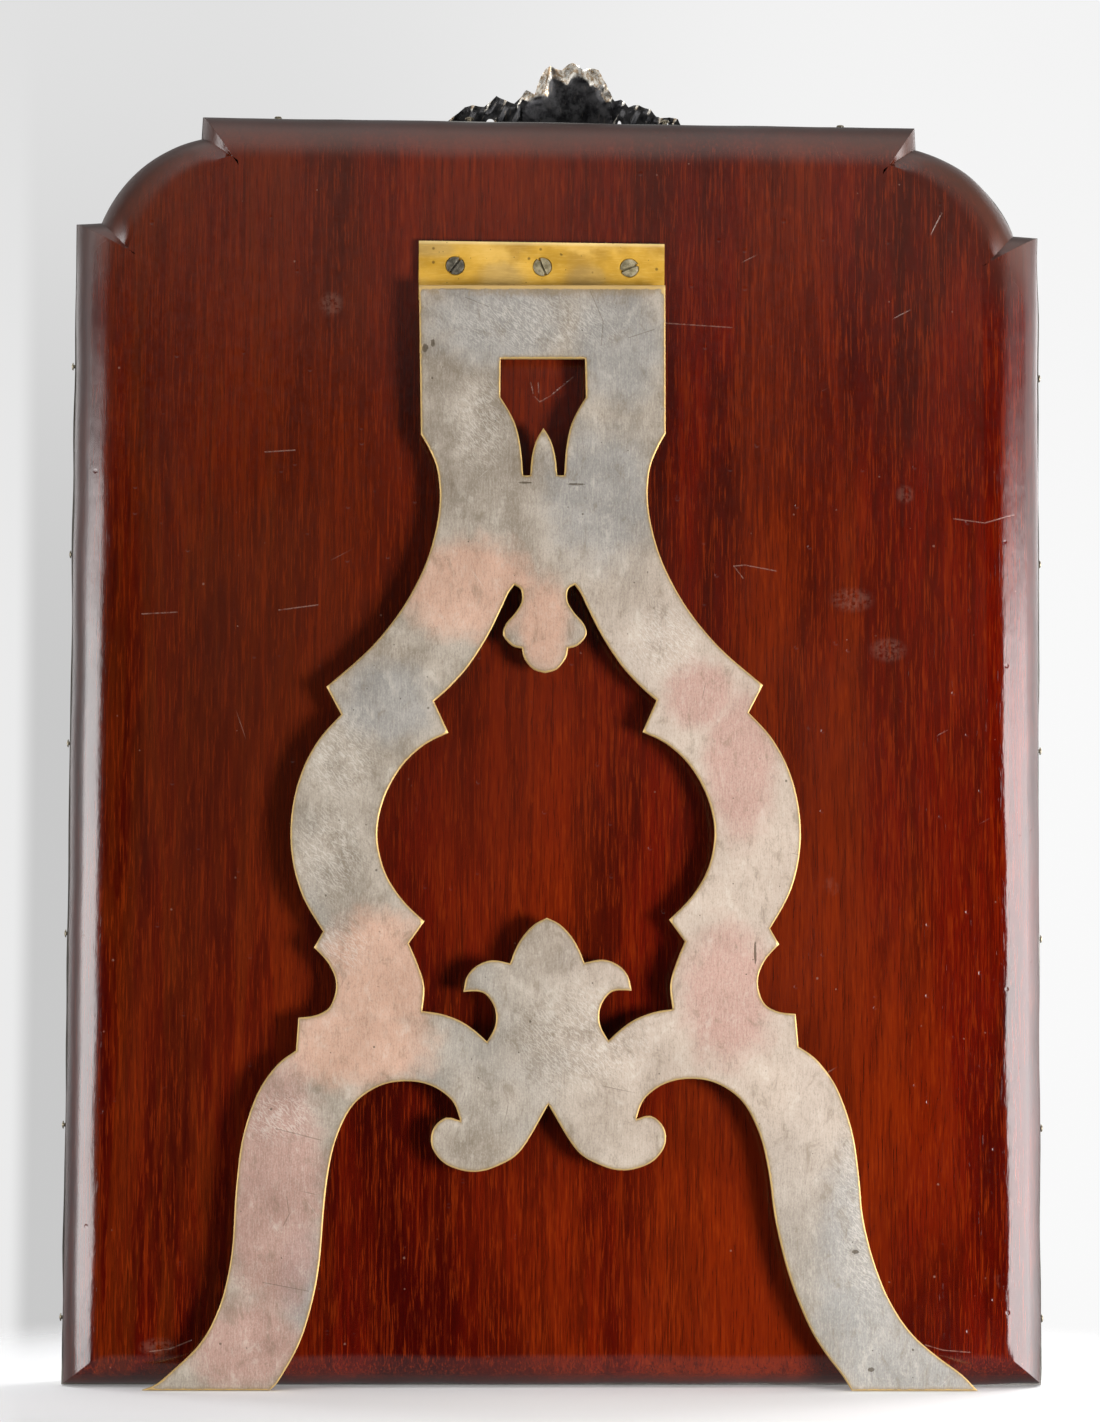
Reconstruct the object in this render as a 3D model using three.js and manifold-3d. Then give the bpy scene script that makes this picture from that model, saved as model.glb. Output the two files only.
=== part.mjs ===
// Easel-back table mirror.
//
// It stands upright: +Z is up, the mirror faces -Y, and the easel strut is on the +Y side. The origin is the
// middle of the flat bottom edge that it stands on. Lengths are in millimetres.

import * as THREE from 'three';
import * as BufferGeometryUtils from 'three/addons/utils/BufferGeometryUtils.js';
import Module from 'manifold-3d';

const wasm = await Module();
wasm.setup();

// ---------------------------------------------------------------- driving dimensions

const GAP = 0.3; // between pieces that touch

// Wooden back board
const BOARD_WIDTH = 350;
const BOARD_HEIGHT = 456;
const BOARD_THICK = 16;
const ROUND_DEPTH = 12; // how far the rounded back edge drops from the flat back
const ROUND_SIDE = 14.5; // width of the rounded edge at the sides
const ROUND_BOTTOM = 11.5;
const ROUND_TOP = 16;

// Front mount, a thin silver pressing that wraps the sides
const MOUNT_SHEET = 0.8;
const SKIRT_HALF = 9; // the flat side runs this far before and behind Y = 0
const SIGHT_INSET = 46; // from the board's edge to the edge of the visible mirror
const MOUNT_LAND = 11; // how far in front of Y = 0 the flat parts of the mount lie
const CUSHION_RISE = 5;
const CUSHION_START = 4.5;
const BEAD_START = 38.2;
const BEAD_RADIUS = 2.2;
const SIGHT_LIP = 8.8;

// Wooden core behind the mount, rebated for the glass
const CORE_THICK = 12;
const CORE_LIP = 3; // wood left in front of the rebate
const CORE_SIGHT_INSET = 44;
const REBATE_INSET = 39.5;
const GLASS_INSET = 40.2;
const GLASS_THICK = 4;
const GLASS_BEVEL = 22; // width of the bevel, part of it under the mount
const GLASS_BEVEL_DROP = 1.6;
const BACKING_THICK = 1.5;
const BLOCK = { length: 28, width: 7, height: 2.3 };

// Strut and its hinge
const STRUT_THICK = 3;
const STRUT_LIFT = 7; // from the board's back to the underside of the strut
const STRUT_X = 7.2; // centre line of the strut at its head
const STRUT_TILT = 0.72; // degrees
const STRUT_TOP = 394.1;
const FOOT_DRIFT = 4; // the feet sit this far to one side of the centre line
const FOOT_DRIFT_HEIGHT = 62;
const EDGE_BEVEL = 0.6;
const PIN_Z = 386;
const PIN_LIFT = 3.7; // from the board's back to the pin's axis
const PIN_RADIUS = 1.5;
const KNUCKLE_RADIUS = 3.1;
const LEAF_WIDTH = 88.8;
const LEAF_THICK = 2.2;
const LEAF_TOP = 410.9;
const STRUT_LEAF_THICK = 1.7;
const STRUT_LEAF_DROP = 16.5;
const KNUCKLES = [14, 20, 20, 20, 14]; // widths along the pin; the second and fourth move with the strut

// Fasteners
const SCREW = { head: 3.25, shank: 1.7, length: 13, sink: 1.6, slotWidth: 0.9, slotDepth: 0.8 };
const SCREW_X = 7;
const SCREW_PITCH = 31.5;
const SCREW_Z = 402;
const SCREW_SLOTS = { left: 54, middle: -68, right: 23 }; // slot angles in degrees
const NAIL = { head: 1.5, dome: 0.7, shank: 0.7, length: 9 };
const NAIL_Y = 7;
const NAIL_FIRST_Z = 24;
const NAIL_PITCH = 68.4;
const NAILS_PER_SIDE = 6;
const TOP_NAIL_X = 103;
const CREST_X = -3;
const CREST_BACK = -3;
const CREST_THICK = 5;
const CREST_FOOT = { back: 2, height: 2 };
const CREST_PIN = { x: 36, y: -0.8, head: 1.8, dome: 1, shank: 0.9, length: 11 };

// ---------------------------------------------------------------- places worked out from them

const BACK_Y = SKIRT_HALF + ROUND_DEPTH;
const BOARD_FRONT_Y = BACK_Y - BOARD_THICK;
const CORE_BACK_Y = BOARD_FRONT_Y - GAP;
const CORE_FRONT_Y = CORE_BACK_Y - CORE_THICK;
const GLASS_FRONT_Y = CORE_FRONT_Y + CORE_LIP + GAP;
const BACKING_FRONT_Y = GLASS_FRONT_Y + GLASS_THICK + GAP;
const MOUNT_OUTER = -(MOUNT_SHEET + GAP); // inset of the mount's outside from the board's edge
const BOARD_Z = -MOUNT_OUTER; // the mount's edge, not the wood, touches the table
const MOUNT_TOP_Z = BOARD_Z + BOARD_HEIGHT - MOUNT_OUTER;
const PIN_Y = BACK_Y + PIN_LIFT;
const LEAF_FRONT_Y = BACK_Y + GAP;
const STRUT_FRONT_Y = BACK_Y + STRUT_LIFT;
const LEAF_BOTTOM = PIN_Z + KNUCKLE_RADIUS + 0.5;

// ---------------------------------------------------------------- outlines, as [x, z] points

// Right half of the frame's outline at two insets: the board's edge and the visible mirror's edge. Each top
// corner is a short step, a wide arc and another short step; at the mirror it is a plain rounded corner.
const CORNER_STEPS = 8;

function arc(centreX, centreZ, radius, fromDeg, toDeg) {
  const curve = new THREE.EllipseCurve(
    centreX, centreZ, radius, radius, THREE.MathUtils.degToRad(fromDeg), THREE.MathUtils.degToRad(toDeg));
  return curve.getPoints(CORNER_STEPS).map((p) => [p.x, p.y]);
}

function mirrored(half) {
  const other = half.map(([x, z]) => [-x, z]).reverse();
  return [...half, ...other];
}

const EDGE = mirrored([
  [BOARD_WIDTH / 2, 0],
  [BOARD_WIDTH / 2, 416],
  ...arc(118.7, 398.7, 50.6, 20.6, 77),
  [129.7, BOARD_HEIGHT],
]);

const SIGHT = mirrored([
  [BOARD_WIDTH / 2 - SIGHT_INSET, SIGHT_INSET],
  [BOARD_WIDTH / 2 - SIGHT_INSET, 373],
  ...arc(93, 374, 36, 0, 90),
  [92, BOARD_HEIGHT - SIGHT_INSET],
]);

// Edge of the board's flat back, where the rounded edge ends. Both steps of a corner run out to a point.
const FLAT_BACK = mirrored([
  [BOARD_WIDTH / 2 - ROUND_SIDE, ROUND_BOTTOM],
  [157, 406],
  ...arc(108.5, 391.5, 50, 17, 77.5),
  [119, BOARD_HEIGHT - ROUND_TOP],
]);

function blend(from, to, amount) {
  return from.map(([x, z], i) => [x + (to[i][0] - x) * amount, z + (to[i][1] - z) * amount + BOARD_Z]);
}

// The frame's outline, moved in by some millimetres (out where negative).
function frameOutline(inset) {
  return blend(EDGE, SIGHT, inset / SIGHT_INSET);
}

// Half outlines of the strut, as [distance from its centre line, height above its feet]. Each stretch starts
// where the last one ended: with one point it is straight, with more it is a smooth curve through them.
const STRUT_EDGE = [
  [[44.3, STRUT_TOP]],
  [[43.9, 340.3]],
  [[40.7, 334.5], [38, 327], [37.3, 316], [39.2, 304], [43.6, 291], [51.7, 276.5], [63, 262.8], [78, 249.7]],
  [[72.8, 239.8]],
  [[81, 230.6], [87.3, 218.4], [90.6, 204], [90.5, 189.5], [86.8, 175.3], [79.6, 162.6]],
  [[82.8, 157]],
  [[77.6, 151.2], [75, 144], [77, 136.4], [82, 133.1], [88.4, 132.2]],
  [[89.3, 120.6]],
  [[96, 115.6], [103, 105.5], [108.2, 90], [110.4, 74], [111.7, 58], [114.5, 43], [119.7, 28.4], [128.6, 15.6],
    [147.8, 0]],
  [[102.9, 0]],
  [[92.5, 15.5], [86.8, 29], [82.8, 43.5], [80.3, 59], [78.3, 76], [75.2, 89.5], [69.2, 101.2], [60, 107.8],
    [50, 109.5], [41, 107.6], [34, 102.3], [31.2, 95.3]],
  [[36.4, 96.5], [41, 92.3], [41.2, 85.8], [36, 79.8], [26.5, 77.3], [17.5, 79.6], [9.5, 85.2], [0, 100.9]],
];

const STRUT_WINDOW = [
  [[0, 254.4]],
  [[4.2, 255.7], [7.4, 259.6], [8.2, 263.2]],
  [[11.7, 264.2], [14.9, 268], [13.9, 272], [10.8, 275.6], [8.2, 280], [8.4, 284.3], [10.8, 286]],
  [[13, 283], [15.7, 277.2], [20.3, 268], [27, 257.5], [34, 249.6], [39.8, 244.4]],
  [[34.7, 233.1]],
  [[43.3, 228.8], [51.3, 221.3], [57.5, 210.3], [60.2, 197.5], [57.8, 184.4], [51.6, 174], [43.6, 166]],
  [[49.2, 158.2]],
  [[46.4, 151.6], [43.8, 143], [44.6, 134.2]],
  [[38, 133.2], [31, 130.6], [25.5, 126.8], [21.6, 123.2]],
  [[18.6, 129], [18.9, 135.4], [23, 140.6], [29.9, 140.9]],
  [[28.6, 146.3], [25, 150.2], [19.6, 152], [13.2, 150.9]],
  [[11.4, 155.6], [8.6, 160.4], [4.6, 164.6], [0, 167]],
];

const STRUT_KEYHOLE = [
  [[15.2, 367.5]],
  [[15.4, 353.6]],
  [[12, 348], [9.6, 342.3], [8.1, 334.4], [7.4, 325.3]],
  [[4.8, 325.3]],
  [[4.2, 332], [2.6, 338], [0, 342.4]],
];

const CURVE_STEPS = 3; // straight pieces between two points of a smooth curve

function followStretches(stretches) {
  const points = [];
  for (const knots of stretches) {
    const start = points.at(-1);
    if (knots.length === 1) {
      points.push(knots[0]);
      continue;
    }
    const curve = new THREE.SplineCurve([start, ...knots].map(([a, b]) => new THREE.Vector2(a, b)));
    const samples = curve.getPoints(CURVE_STEPS * knots.length).slice(1);
    points.push(...samples.map((p) => [p.x, p.y]));
  }
  return points;
}

// The strut hangs a little askew, turned about the middle of its pin, and its feet are cut level.
function strutOutline(stretches) {
  const half = followStretches(stretches);
  const offCentre = ([a]) => a > 0.01;
  const left = half.filter(offCentre).map(([a, b]) => [-a, b]).reverse();
  const tilt = THREE.MathUtils.degToRad(STRUT_TILT);
  return [...half, ...left].map(([a, b]) => {
    const drift = FOOT_DRIFT * Math.max(0, 1 - b / FOOT_DRIFT_HEIGHT);
    const up = b - PIN_Z;
    const x = STRUT_X + a * Math.cos(tilt) + up * Math.sin(tilt) - drift;
    const z = PIN_Z + up * Math.cos(tilt) - a * Math.sin(tilt);
    return [x, b === 0 ? GAP : z];
  });
}

// Half silhouette of the crest above its foot.
const CREST_HALF = [
  [42.5, 0], [42.5, 2.8], [40, 4], [36, 3.8], [33.5, 6.2], [28.5, 8.4], [24.5, 7.8], [21, 10.6], [18, 10],
  [15.5, 13.5], [12.5, 17.5], [8, 20.2], [5.5, 19.8], [2.5, 22.2],
];

// ---------------------------------------------------------------- solids

function toShape(points) {
  return new THREE.Shape(points.map(([x, z]) => new THREE.Vector2(x, z)));
}

// A plate with an outline in X and Z, from one Y to a higher one. Holes are given the same way round as the
// outline, and are turned round here.
function plate(outline, lowY, highY, holes = [], bevel = 0) {
  const shape = toShape(outline);
  shape.holes = holes.map((hole) => toShape([...hole].reverse()));
  const geometry = new THREE.ExtrudeGeometry(shape, {
    depth: highY - lowY - 2 * bevel,
    bevelEnabled: bevel > 0,
    bevelThickness: bevel,
    bevelSize: bevel,
    bevelOffset: -bevel,
    bevelSegments: 1,
  });
  geometry.rotateX(Math.PI / 2);
  geometry.translate(0, highY - bevel, 0);
  return geometry;
}

function box(lowX, highX, lowY, highY, lowZ, highZ) {
  const geometry = new THREE.BoxGeometry(highX - lowX, highY - lowY, highZ - lowZ);
  geometry.translate((lowX + highX) / 2, (lowY + highY) / 2, (lowZ + highZ) / 2);
  return geometry;
}

// A bar along X through (y, z).
function barAlongX(radius, lowX, highX, y, z, sides = 24) {
  const geometry = new THREE.CylinderGeometry(radius, radius, highX - lowX, sides);
  geometry.rotateZ(Math.PI / 2);
  geometry.translate((lowX + highX) / 2, y, z);
  return geometry;
}

// A solid between rings of [x, z] points with one count, each at its own Y. A tube's last ring meets its first.
function loft(rings, isTube) {
  const count = rings[0].outline.length;
  const positions = rings.flatMap(({ outline, y }) => outline.flatMap(([x, z]) => [x, y, z]));
  const indices = [];
  const spans = isTube ? rings.length : rings.length - 1;
  for (let ring = 0; ring < spans; ring += 1) {
    const next = (ring + 1) % rings.length;
    for (let i = 0; i < count; i += 1) {
      const j = (i + 1) % count;
      const a = ring * count + i;
      const b = ring * count + j;
      const c = next * count + j;
      const d = next * count + i;
      indices.push(a, b, c, a, c, d);
    }
  }
  if (!isTube) {
    const capOf = (ring) => THREE.ShapeUtils.triangulateShape(
      rings[ring].outline.map(([x, z]) => new THREE.Vector2(x, z)), []);
    const last = rings.length - 1;
    capOf(0).forEach(([a, b, c]) => indices.push(a, c, b));
    capOf(last).forEach(([a, b, c]) => indices.push(last * count + a, last * count + b, last * count + c));
  }
  const geometry = new THREE.BufferGeometry();
  geometry.setAttribute('position', new THREE.Float32BufferAttribute(positions, 3));
  geometry.setIndex(indices);
  return facingOut(geometry);
}

function facingOut(geometry) {
  const p = geometry.getAttribute('position');
  const index = geometry.getIndex().array;
  const corner = (i) => new THREE.Vector3().fromBufferAttribute(p, index[i]);
  let volume = 0;
  for (let i = 0; i < index.length; i += 3) {
    volume += corner(i).dot(corner(i + 1).cross(corner(i + 2)));
  }
  if (volume < 0) {
    geometry.setIndex(Array.from(index).reverse());
  }
  return geometry;
}

// Solid of revolution about the local Y axis from [radius, y] points that start and end on the axis.
function turned(profile, sides) {
  return new THREE.LatheGeometry(profile.map(([r, y]) => new THREE.Vector2(r, y)), sides);
}

function toManifold(geometry) {
  const bare = geometry.clone();
  bare.deleteAttribute('normal');
  bare.deleteAttribute('uv');
  const merged = BufferGeometryUtils.mergeVertices(bare, 1e-4);
  const vertProperties = new Float32Array(merged.getAttribute('position').array);
  const triVerts = new Uint32Array(merged.getIndex().array);
  return new wasm.Manifold(new wasm.Mesh({ numProp: 3, vertProperties, triVerts }));
}

function toGeometry(solid) {
  const mesh = solid.getMesh();
  const geometry = new THREE.BufferGeometry();
  geometry.setAttribute('position', new THREE.Float32BufferAttribute(mesh.vertProperties, 3));
  geometry.setIndex(Array.from(mesh.triVerts));
  return geometry;
}

function join(...geometries) {
  return toGeometry(geometries.map(toManifold).reduce((whole, piece) => whole.add(piece)));
}

function cut(geometry, cutters) {
  return toGeometry(cutters.map(toManifold).reduce((rest, cutter) => rest.subtract(cutter), toManifold(geometry)));
}

function common(geometry, other) {
  return toGeometry(toManifold(geometry).intersect(toManifold(other)));
}

// ---------------------------------------------------------------- materials

function material(name, colour, roughness, metalness) {
  return new THREE.MeshStandardMaterial({ name, color: colour, roughness, metalness });
}

const mahogany = () => material('mahogany', 0x5a1c10, 0.32, 0);
const corePine = () => material('core_pine', 0xb98f5c, 0.7, 0);
const silver = () => material('silver', 0xb9b4aa, 0.3, 1);
const tarnishedSilver = () => material('tarnished_silver', 0x4c4a48, 0.45, 1);
const silverPlate = () => material('silver_plate', 0xbfb6ab, 0.4, 1);
const brass = () => material('brass', 0xcfa24a, 0.35, 1);
const steel = () => material('steel', 0x6f6a60, 0.4, 1);
const mirrorGlass = () => material('mirror_glass', 0xdfe6e6, 0.03, 1);
const card = () => material('card', 0x8c7f6b, 0.9, 0);

const model = new THREE.Group();

function addTo(group, name, geometry, surface) {
  const mesh = new THREE.Mesh(geometry, surface);
  mesh.name = name;
  group.add(mesh);
  return mesh;
}

// ---------------------------------------------------------------- places of the fasteners

const SCREW_PLACES = Object.entries(SCREW_SLOTS).map(([side, slot], i) => (
  { side, slot, x: SCREW_X + (i - 1) * -SCREW_PITCH }));

// Nails: where each head sits on the mount's edge, and the turn that points it outward.
function nailPlaces() {
  const places = [];
  for (let i = 0; i < NAILS_PER_SIDE; i += 1) {
    const z = NAIL_FIRST_Z + i * NAIL_PITCH;
    places.push({ x: BOARD_WIDTH / 2 - MOUNT_OUTER, z, turn: [0, 0, -Math.PI / 2] });
    places.push({ x: -(BOARD_WIDTH / 2 - MOUNT_OUTER), z, turn: [0, 0, Math.PI / 2] });
  }
  places.push({ x: TOP_NAIL_X, z: MOUNT_TOP_Z, turn: [Math.PI / 2, 0, 0] });
  places.push({ x: -TOP_NAIL_X, z: MOUNT_TOP_Z, turn: [Math.PI / 2, 0, 0] });
  return places;
}

function placed(geometry, place, y) {
  geometry.applyQuaternion(new THREE.Quaternion().setFromEuler(new THREE.Euler(...place.turn)));
  geometry.translate(place.x, y, place.z);
  return geometry;
}

function nailHoles() {
  return nailPlaces().map((place) => (
    placed(new THREE.CylinderGeometry(NAIL.shank + GAP, NAIL.shank + GAP, 2 * NAIL.length + 2, 10), place, NAIL_Y)));
}

const CREST_PIN_PLACES = { left: CREST_X - CREST_PIN.x, right: CREST_X + CREST_PIN.x };

function crestPinHoles() {
  return Object.values(CREST_PIN_PLACES).map((x) => {
    const hole = new THREE.CylinderGeometry(CREST_PIN.shank + GAP, CREST_PIN.shank + GAP, 2 * CREST_PIN.length + 2, 12);
    hole.rotateX(Math.PI / 2);
    hole.translate(x, CREST_PIN.y, MOUNT_TOP_Z);
    return hole;
  });
}

// ---------------------------------------------------------------- frame pieces

function backBoard() {
  const rings = [{ outline: blend(EDGE, FLAT_BACK, 0), y: BOARD_FRONT_Y }];
  const steps = 6;
  for (let i = 0; i <= steps; i += 1) {
    const angle = (i / steps) * (Math.PI / 2);
    rings.push({
      outline: blend(EDGE, FLAT_BACK, 1 - Math.cos(angle)),
      y: SKIRT_HALF + ROUND_DEPTH * Math.sin(angle),
    });
  }
  const screwHoles = SCREW_PLACES.map(({ x }) => {
    const hole = new THREE.CylinderGeometry(SCREW.shank + GAP, SCREW.shank + GAP, 2 * SCREW.length, 16);
    hole.translate(x, LEAF_FRONT_Y + LEAF_THICK, SCREW_Z);
    return hole;
  });
  return cut(loft(rings, false), [...nailHoles(), ...screwHoles]);
}

function mountProfile() {
  const outside = [
    [MOUNT_OUTER, SKIRT_HALF],
    [MOUNT_OUTER, -SKIRT_HALF],
    [-0.5, -SKIRT_HALF - 1.5],
    [0.9, -MOUNT_LAND],
    [CUSHION_START, -MOUNT_LAND],
  ];
  const inside = [
    [MOUNT_OUTER + MOUNT_SHEET, SKIRT_HALF],
    [MOUNT_OUTER + MOUNT_SHEET, -SKIRT_HALF],
    [0.9, -MOUNT_LAND + MOUNT_SHEET],
    [CUSHION_START, -MOUNT_LAND + MOUNT_SHEET],
  ];
  const cushionSteps = 8;
  for (let i = 1; i <= cushionSteps; i += 1) {
    const share = i / cushionSteps;
    const inset = CUSHION_START + (BEAD_START - CUSHION_START) * share;
    const y = -MOUNT_LAND - CUSHION_RISE * Math.sin(Math.PI * share);
    outside.push([inset, y]);
    inside.push([inset, y + MOUNT_SHEET]);
  }
  const beadSteps = 6;
  for (let i = 1; i <= beadSteps; i += 1) {
    const angle = Math.PI * (i / beadSteps);
    outside.push([
      BEAD_START + BEAD_RADIUS * (1 - Math.cos(angle)),
      -MOUNT_LAND - BEAD_RADIUS * Math.sin(angle),
    ]);
  }
  outside.push([SIGHT_INSET, -SIGHT_LIP]);
  inside.push([BEAD_START + 2 * BEAD_RADIUS, -MOUNT_LAND + MOUNT_SHEET]);
  inside.push([SIGHT_INSET, -SIGHT_LIP + MOUNT_SHEET]);
  return [...outside, ...inside.reverse()];
}

function frontMount() {
  const rings = mountProfile().map(([inset, y]) => ({ outline: frameOutline(inset), y }));
  return cut(loft(rings, true), [...nailHoles(), ...crestPinHoles()]);
}

// The core is one rebated ring, sawn into a mitred bottom rail, two stiles and a shaped top rail.
function coreMembers() {
  const ring = cut(plate(frameOutline(0), CORE_FRONT_Y, CORE_BACK_Y), [
    plate(frameOutline(CORE_SIGHT_INSET), CORE_FRONT_Y - 1, CORE_BACK_Y + 1),
    plate(frameOutline(REBATE_INSET), CORE_FRONT_Y + CORE_LIP, CORE_BACK_Y + 1),
    ...crestPinHoles(),
  ]);
  const out = BOARD_WIDTH / 2 + 5;
  const inn = BOARD_WIDTH / 2 - 75;
  const shoulder = 372;
  const mitre = (x) => BOARD_Z + BOARD_WIDTH / 2 - x;
  const regions = {
    core_bottom_rail: [
      [-out, -out], [out, -out], [out, mitre(out) - GAP / 2], [inn, mitre(inn) - GAP / 2],
      [-inn, mitre(inn) - GAP / 2], [-out, mitre(out) - GAP / 2],
    ],
    core_left_stile: [
      [-out, mitre(out) + GAP], [-inn, mitre(inn) + GAP], [-inn, shoulder - GAP], [-out, shoulder - GAP],
    ],
    core_right_stile: [
      [out, mitre(out) + GAP], [out, shoulder - GAP], [inn, shoulder - GAP], [inn, mitre(inn) + GAP],
    ],
    core_top_rail: [
      [-out, shoulder], [out, shoulder], [out, BOARD_HEIGHT + 5], [-out, BOARD_HEIGHT + 5],
    ],
  };
  return Object.entries(regions).map(([name, region]) => (
    { name, geometry: common(ring, plate(region, CORE_FRONT_Y - 1, CORE_BACK_Y + 1)) }));
}

function mirrorPlate() {
  return loft([
    { outline: frameOutline(GLASS_INSET + GLASS_BEVEL), y: GLASS_FRONT_Y },
    { outline: frameOutline(GLASS_INSET), y: GLASS_FRONT_Y + GLASS_BEVEL_DROP },
    { outline: frameOutline(GLASS_INSET), y: GLASS_FRONT_Y + GLASS_THICK },
  ], false);
}

// A three-cornered block that lies on the backing and leans on the wall of the rebate.
function glazingBlock() {
  const section = new THREE.Shape([
    new THREE.Vector2(0, 0), new THREE.Vector2(BLOCK.width, 0), new THREE.Vector2(0, BLOCK.height)]);
  const geometry = new THREE.ExtrudeGeometry(section, { depth: BLOCK.length, bevelEnabled: false });
  geometry.translate(0, 0, -BLOCK.length / 2);
  return geometry;
}

function addGlazingBlocks(group) {
  const y = BACKING_FRONT_Y + BACKING_THICK + GAP;
  const wallX = BOARD_WIDTH / 2 - REBATE_INSET - GAP;
  const wallLow = BOARD_Z + REBATE_INSET + GAP;
  const wallHigh = BOARD_Z + BOARD_HEIGHT - REBATE_INSET - GAP;
  const places = [];
  for (const height of [130, 290]) {
    places.push({ x: -wallX, z: height, turn: 0 });
    places.push({ x: wallX, z: height, turn: Math.PI });
  }
  for (const across of [-60, 60]) {
    places.push({ x: across, z: wallLow, turn: -Math.PI / 2 });
    places.push({ x: across, z: wallHigh, turn: Math.PI / 2 });
  }
  places.forEach(({ x, z, turn }, i) => {
    const block = addTo(group, `glazing_block_${i + 1}`, glazingBlock(), corePine());
    block.position.set(x, y, z);
    block.rotation.y = turn;
  });
}

// ---------------------------------------------------------------- fasteners

// A round-headed nail or pin that points along -Y, with the underside of its head just above Y = 0.
function domedNail({ head, dome, shank, length }, sides) {
  return turned([
    [0, -length], [shank, -length + 1.5], [shank, 0.1], [head, 0.1], [head * 0.8, 0.1 + dome * 0.6], [0, 0.1 + dome],
  ], sides);
}

function addNails(group) {
  nailPlaces().forEach((place, i) => {
    const number = String(i + 1).padStart(2, '0');
    const mesh = addTo(group, `mount_nail_${number}`, domedNail(NAIL, 10), steel());
    mesh.position.set(place.x, NAIL_Y, place.z);
    mesh.rotation.set(...place.turn);
  });
}

// A slotted countersunk screw that points along -Y, with the top of its head at Y = 0.
function hingeScrew(slotDegrees) {
  const { head, shank, length, sink, slotWidth, slotDepth } = SCREW;
  const body = turned([
    [0, -length], [shank, -length + 3], [shank, -sink], [head, -0.2], [head, 0], [0, 0.25],
  ], 20);
  const slot = new THREE.BoxGeometry(2 * head + 2, 2 * slotDepth, slotWidth);
  slot.rotateY(THREE.MathUtils.degToRad(slotDegrees));
  return cut(body, [slot]);
}

function addHingeScrews(group) {
  for (const { side, slot, x } of SCREW_PLACES) {
    const screw = addTo(group, `hinge_screw_${side}`, hingeScrew(slot), steel());
    screw.position.set(x, LEAF_FRONT_Y + LEAF_THICK, SCREW_Z);
  }
}

// ---------------------------------------------------------------- crest

function crest() {
  const foot = MOUNT_TOP_Z + GAP;
  const silhouette = mirrored(CREST_HALF).map(([x, z]) => [CREST_X + x, foot + z]);
  const face = plate(silhouette, CREST_BACK - CREST_THICK, CREST_BACK);
  const base = box(
    CREST_X - CREST_HALF[0][0], CREST_X + CREST_HALF[0][0],
    CREST_BACK - CREST_THICK, CREST_FOOT.back, foot, foot + CREST_FOOT.height);
  return cut(join(face, base), crestPinHoles());
}

// ---------------------------------------------------------------- hinge and strut

// The five knuckles along the pin, with a gap between neighbours.
function knuckleSpans() {
  const total = KNUCKLES.reduce((sum, width) => sum + width, 0);
  let edge = STRUT_X - total / 2;
  return KNUCKLES.map((width, i) => {
    const span = { low: edge + GAP / 2, high: edge + width - GAP / 2, moves: i % 2 === 1 };
    edge += width;
    return span;
  });
}

function pinHole() {
  return barAlongX(PIN_RADIUS + GAP, STRUT_X - LEAF_WIDTH, STRUT_X + LEAF_WIDTH, PIN_Y, PIN_Z);
}

function screwHole(x) {
  const outer = SCREW.head + GAP;
  const inner = SCREW.shank + GAP;
  const hole = turned([
    [0, -LEAF_THICK - 1], [inner, -LEAF_THICK - 1], [inner, -SCREW.sink - GAP], [outer, -GAP], [outer, 1], [0, 1],
  ], 20);
  hole.translate(x, LEAF_FRONT_Y + LEAF_THICK, SCREW_Z);
  return hole;
}

function hingeLeaf() {
  const half = LEAF_WIDTH / 2;
  const backY = LEAF_FRONT_Y + LEAF_THICK;
  const leaf = box(STRUT_X - half, STRUT_X + half, LEAF_FRONT_Y, backY, LEAF_BOTTOM, LEAF_TOP);
  const knuckles = knuckleSpans().filter(({ moves }) => !moves).flatMap(({ low, high }) => [
    barAlongX(KNUCKLE_RADIUS, low, high, PIN_Y, PIN_Z),
    box(low, high, LEAF_FRONT_Y, backY, PIN_Z, LEAF_BOTTOM + 1),
  ]);
  const holes = SCREW_PLACES.map(({ x }) => screwHole(x));
  return cut(join(leaf, ...knuckles), [pinHole(), ...holes]);
}

function strutLeaf() {
  const half = LEAF_WIDTH / 2 - 0.4;
  const backY = STRUT_FRONT_Y - GAP;
  const frontY = backY - STRUT_LEAF_THICK;
  const top = PIN_Z - KNUCKLE_RADIUS - 0.5;
  const leaf = box(STRUT_X - half, STRUT_X + half, frontY, backY, PIN_Z - STRUT_LEAF_DROP, top);
  const knuckles = knuckleSpans().filter(({ moves }) => moves).flatMap(({ low, high }) => [
    barAlongX(KNUCKLE_RADIUS, low, high, PIN_Y, PIN_Z),
    box(low, high, frontY, backY, top - 1, PIN_Z),
  ]);
  return cut(join(leaf, ...knuckles), [pinHole()]);
}

function hingePin() {
  const half = KNUCKLES.reduce((sum, width) => sum + width, 0) / 2;
  return barAlongX(PIN_RADIUS, STRUT_X - half, STRUT_X + half, PIN_Y, PIN_Z, 20);
}

function strut() {
  const holes = [strutOutline(STRUT_WINDOW), strutOutline(STRUT_KEYHOLE)];
  return plate(strutOutline(STRUT_EDGE), STRUT_FRONT_Y, STRUT_FRONT_Y + STRUT_THICK, holes, EDGE_BEVEL);
}

// ---------------------------------------------------------------- assembly

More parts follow.
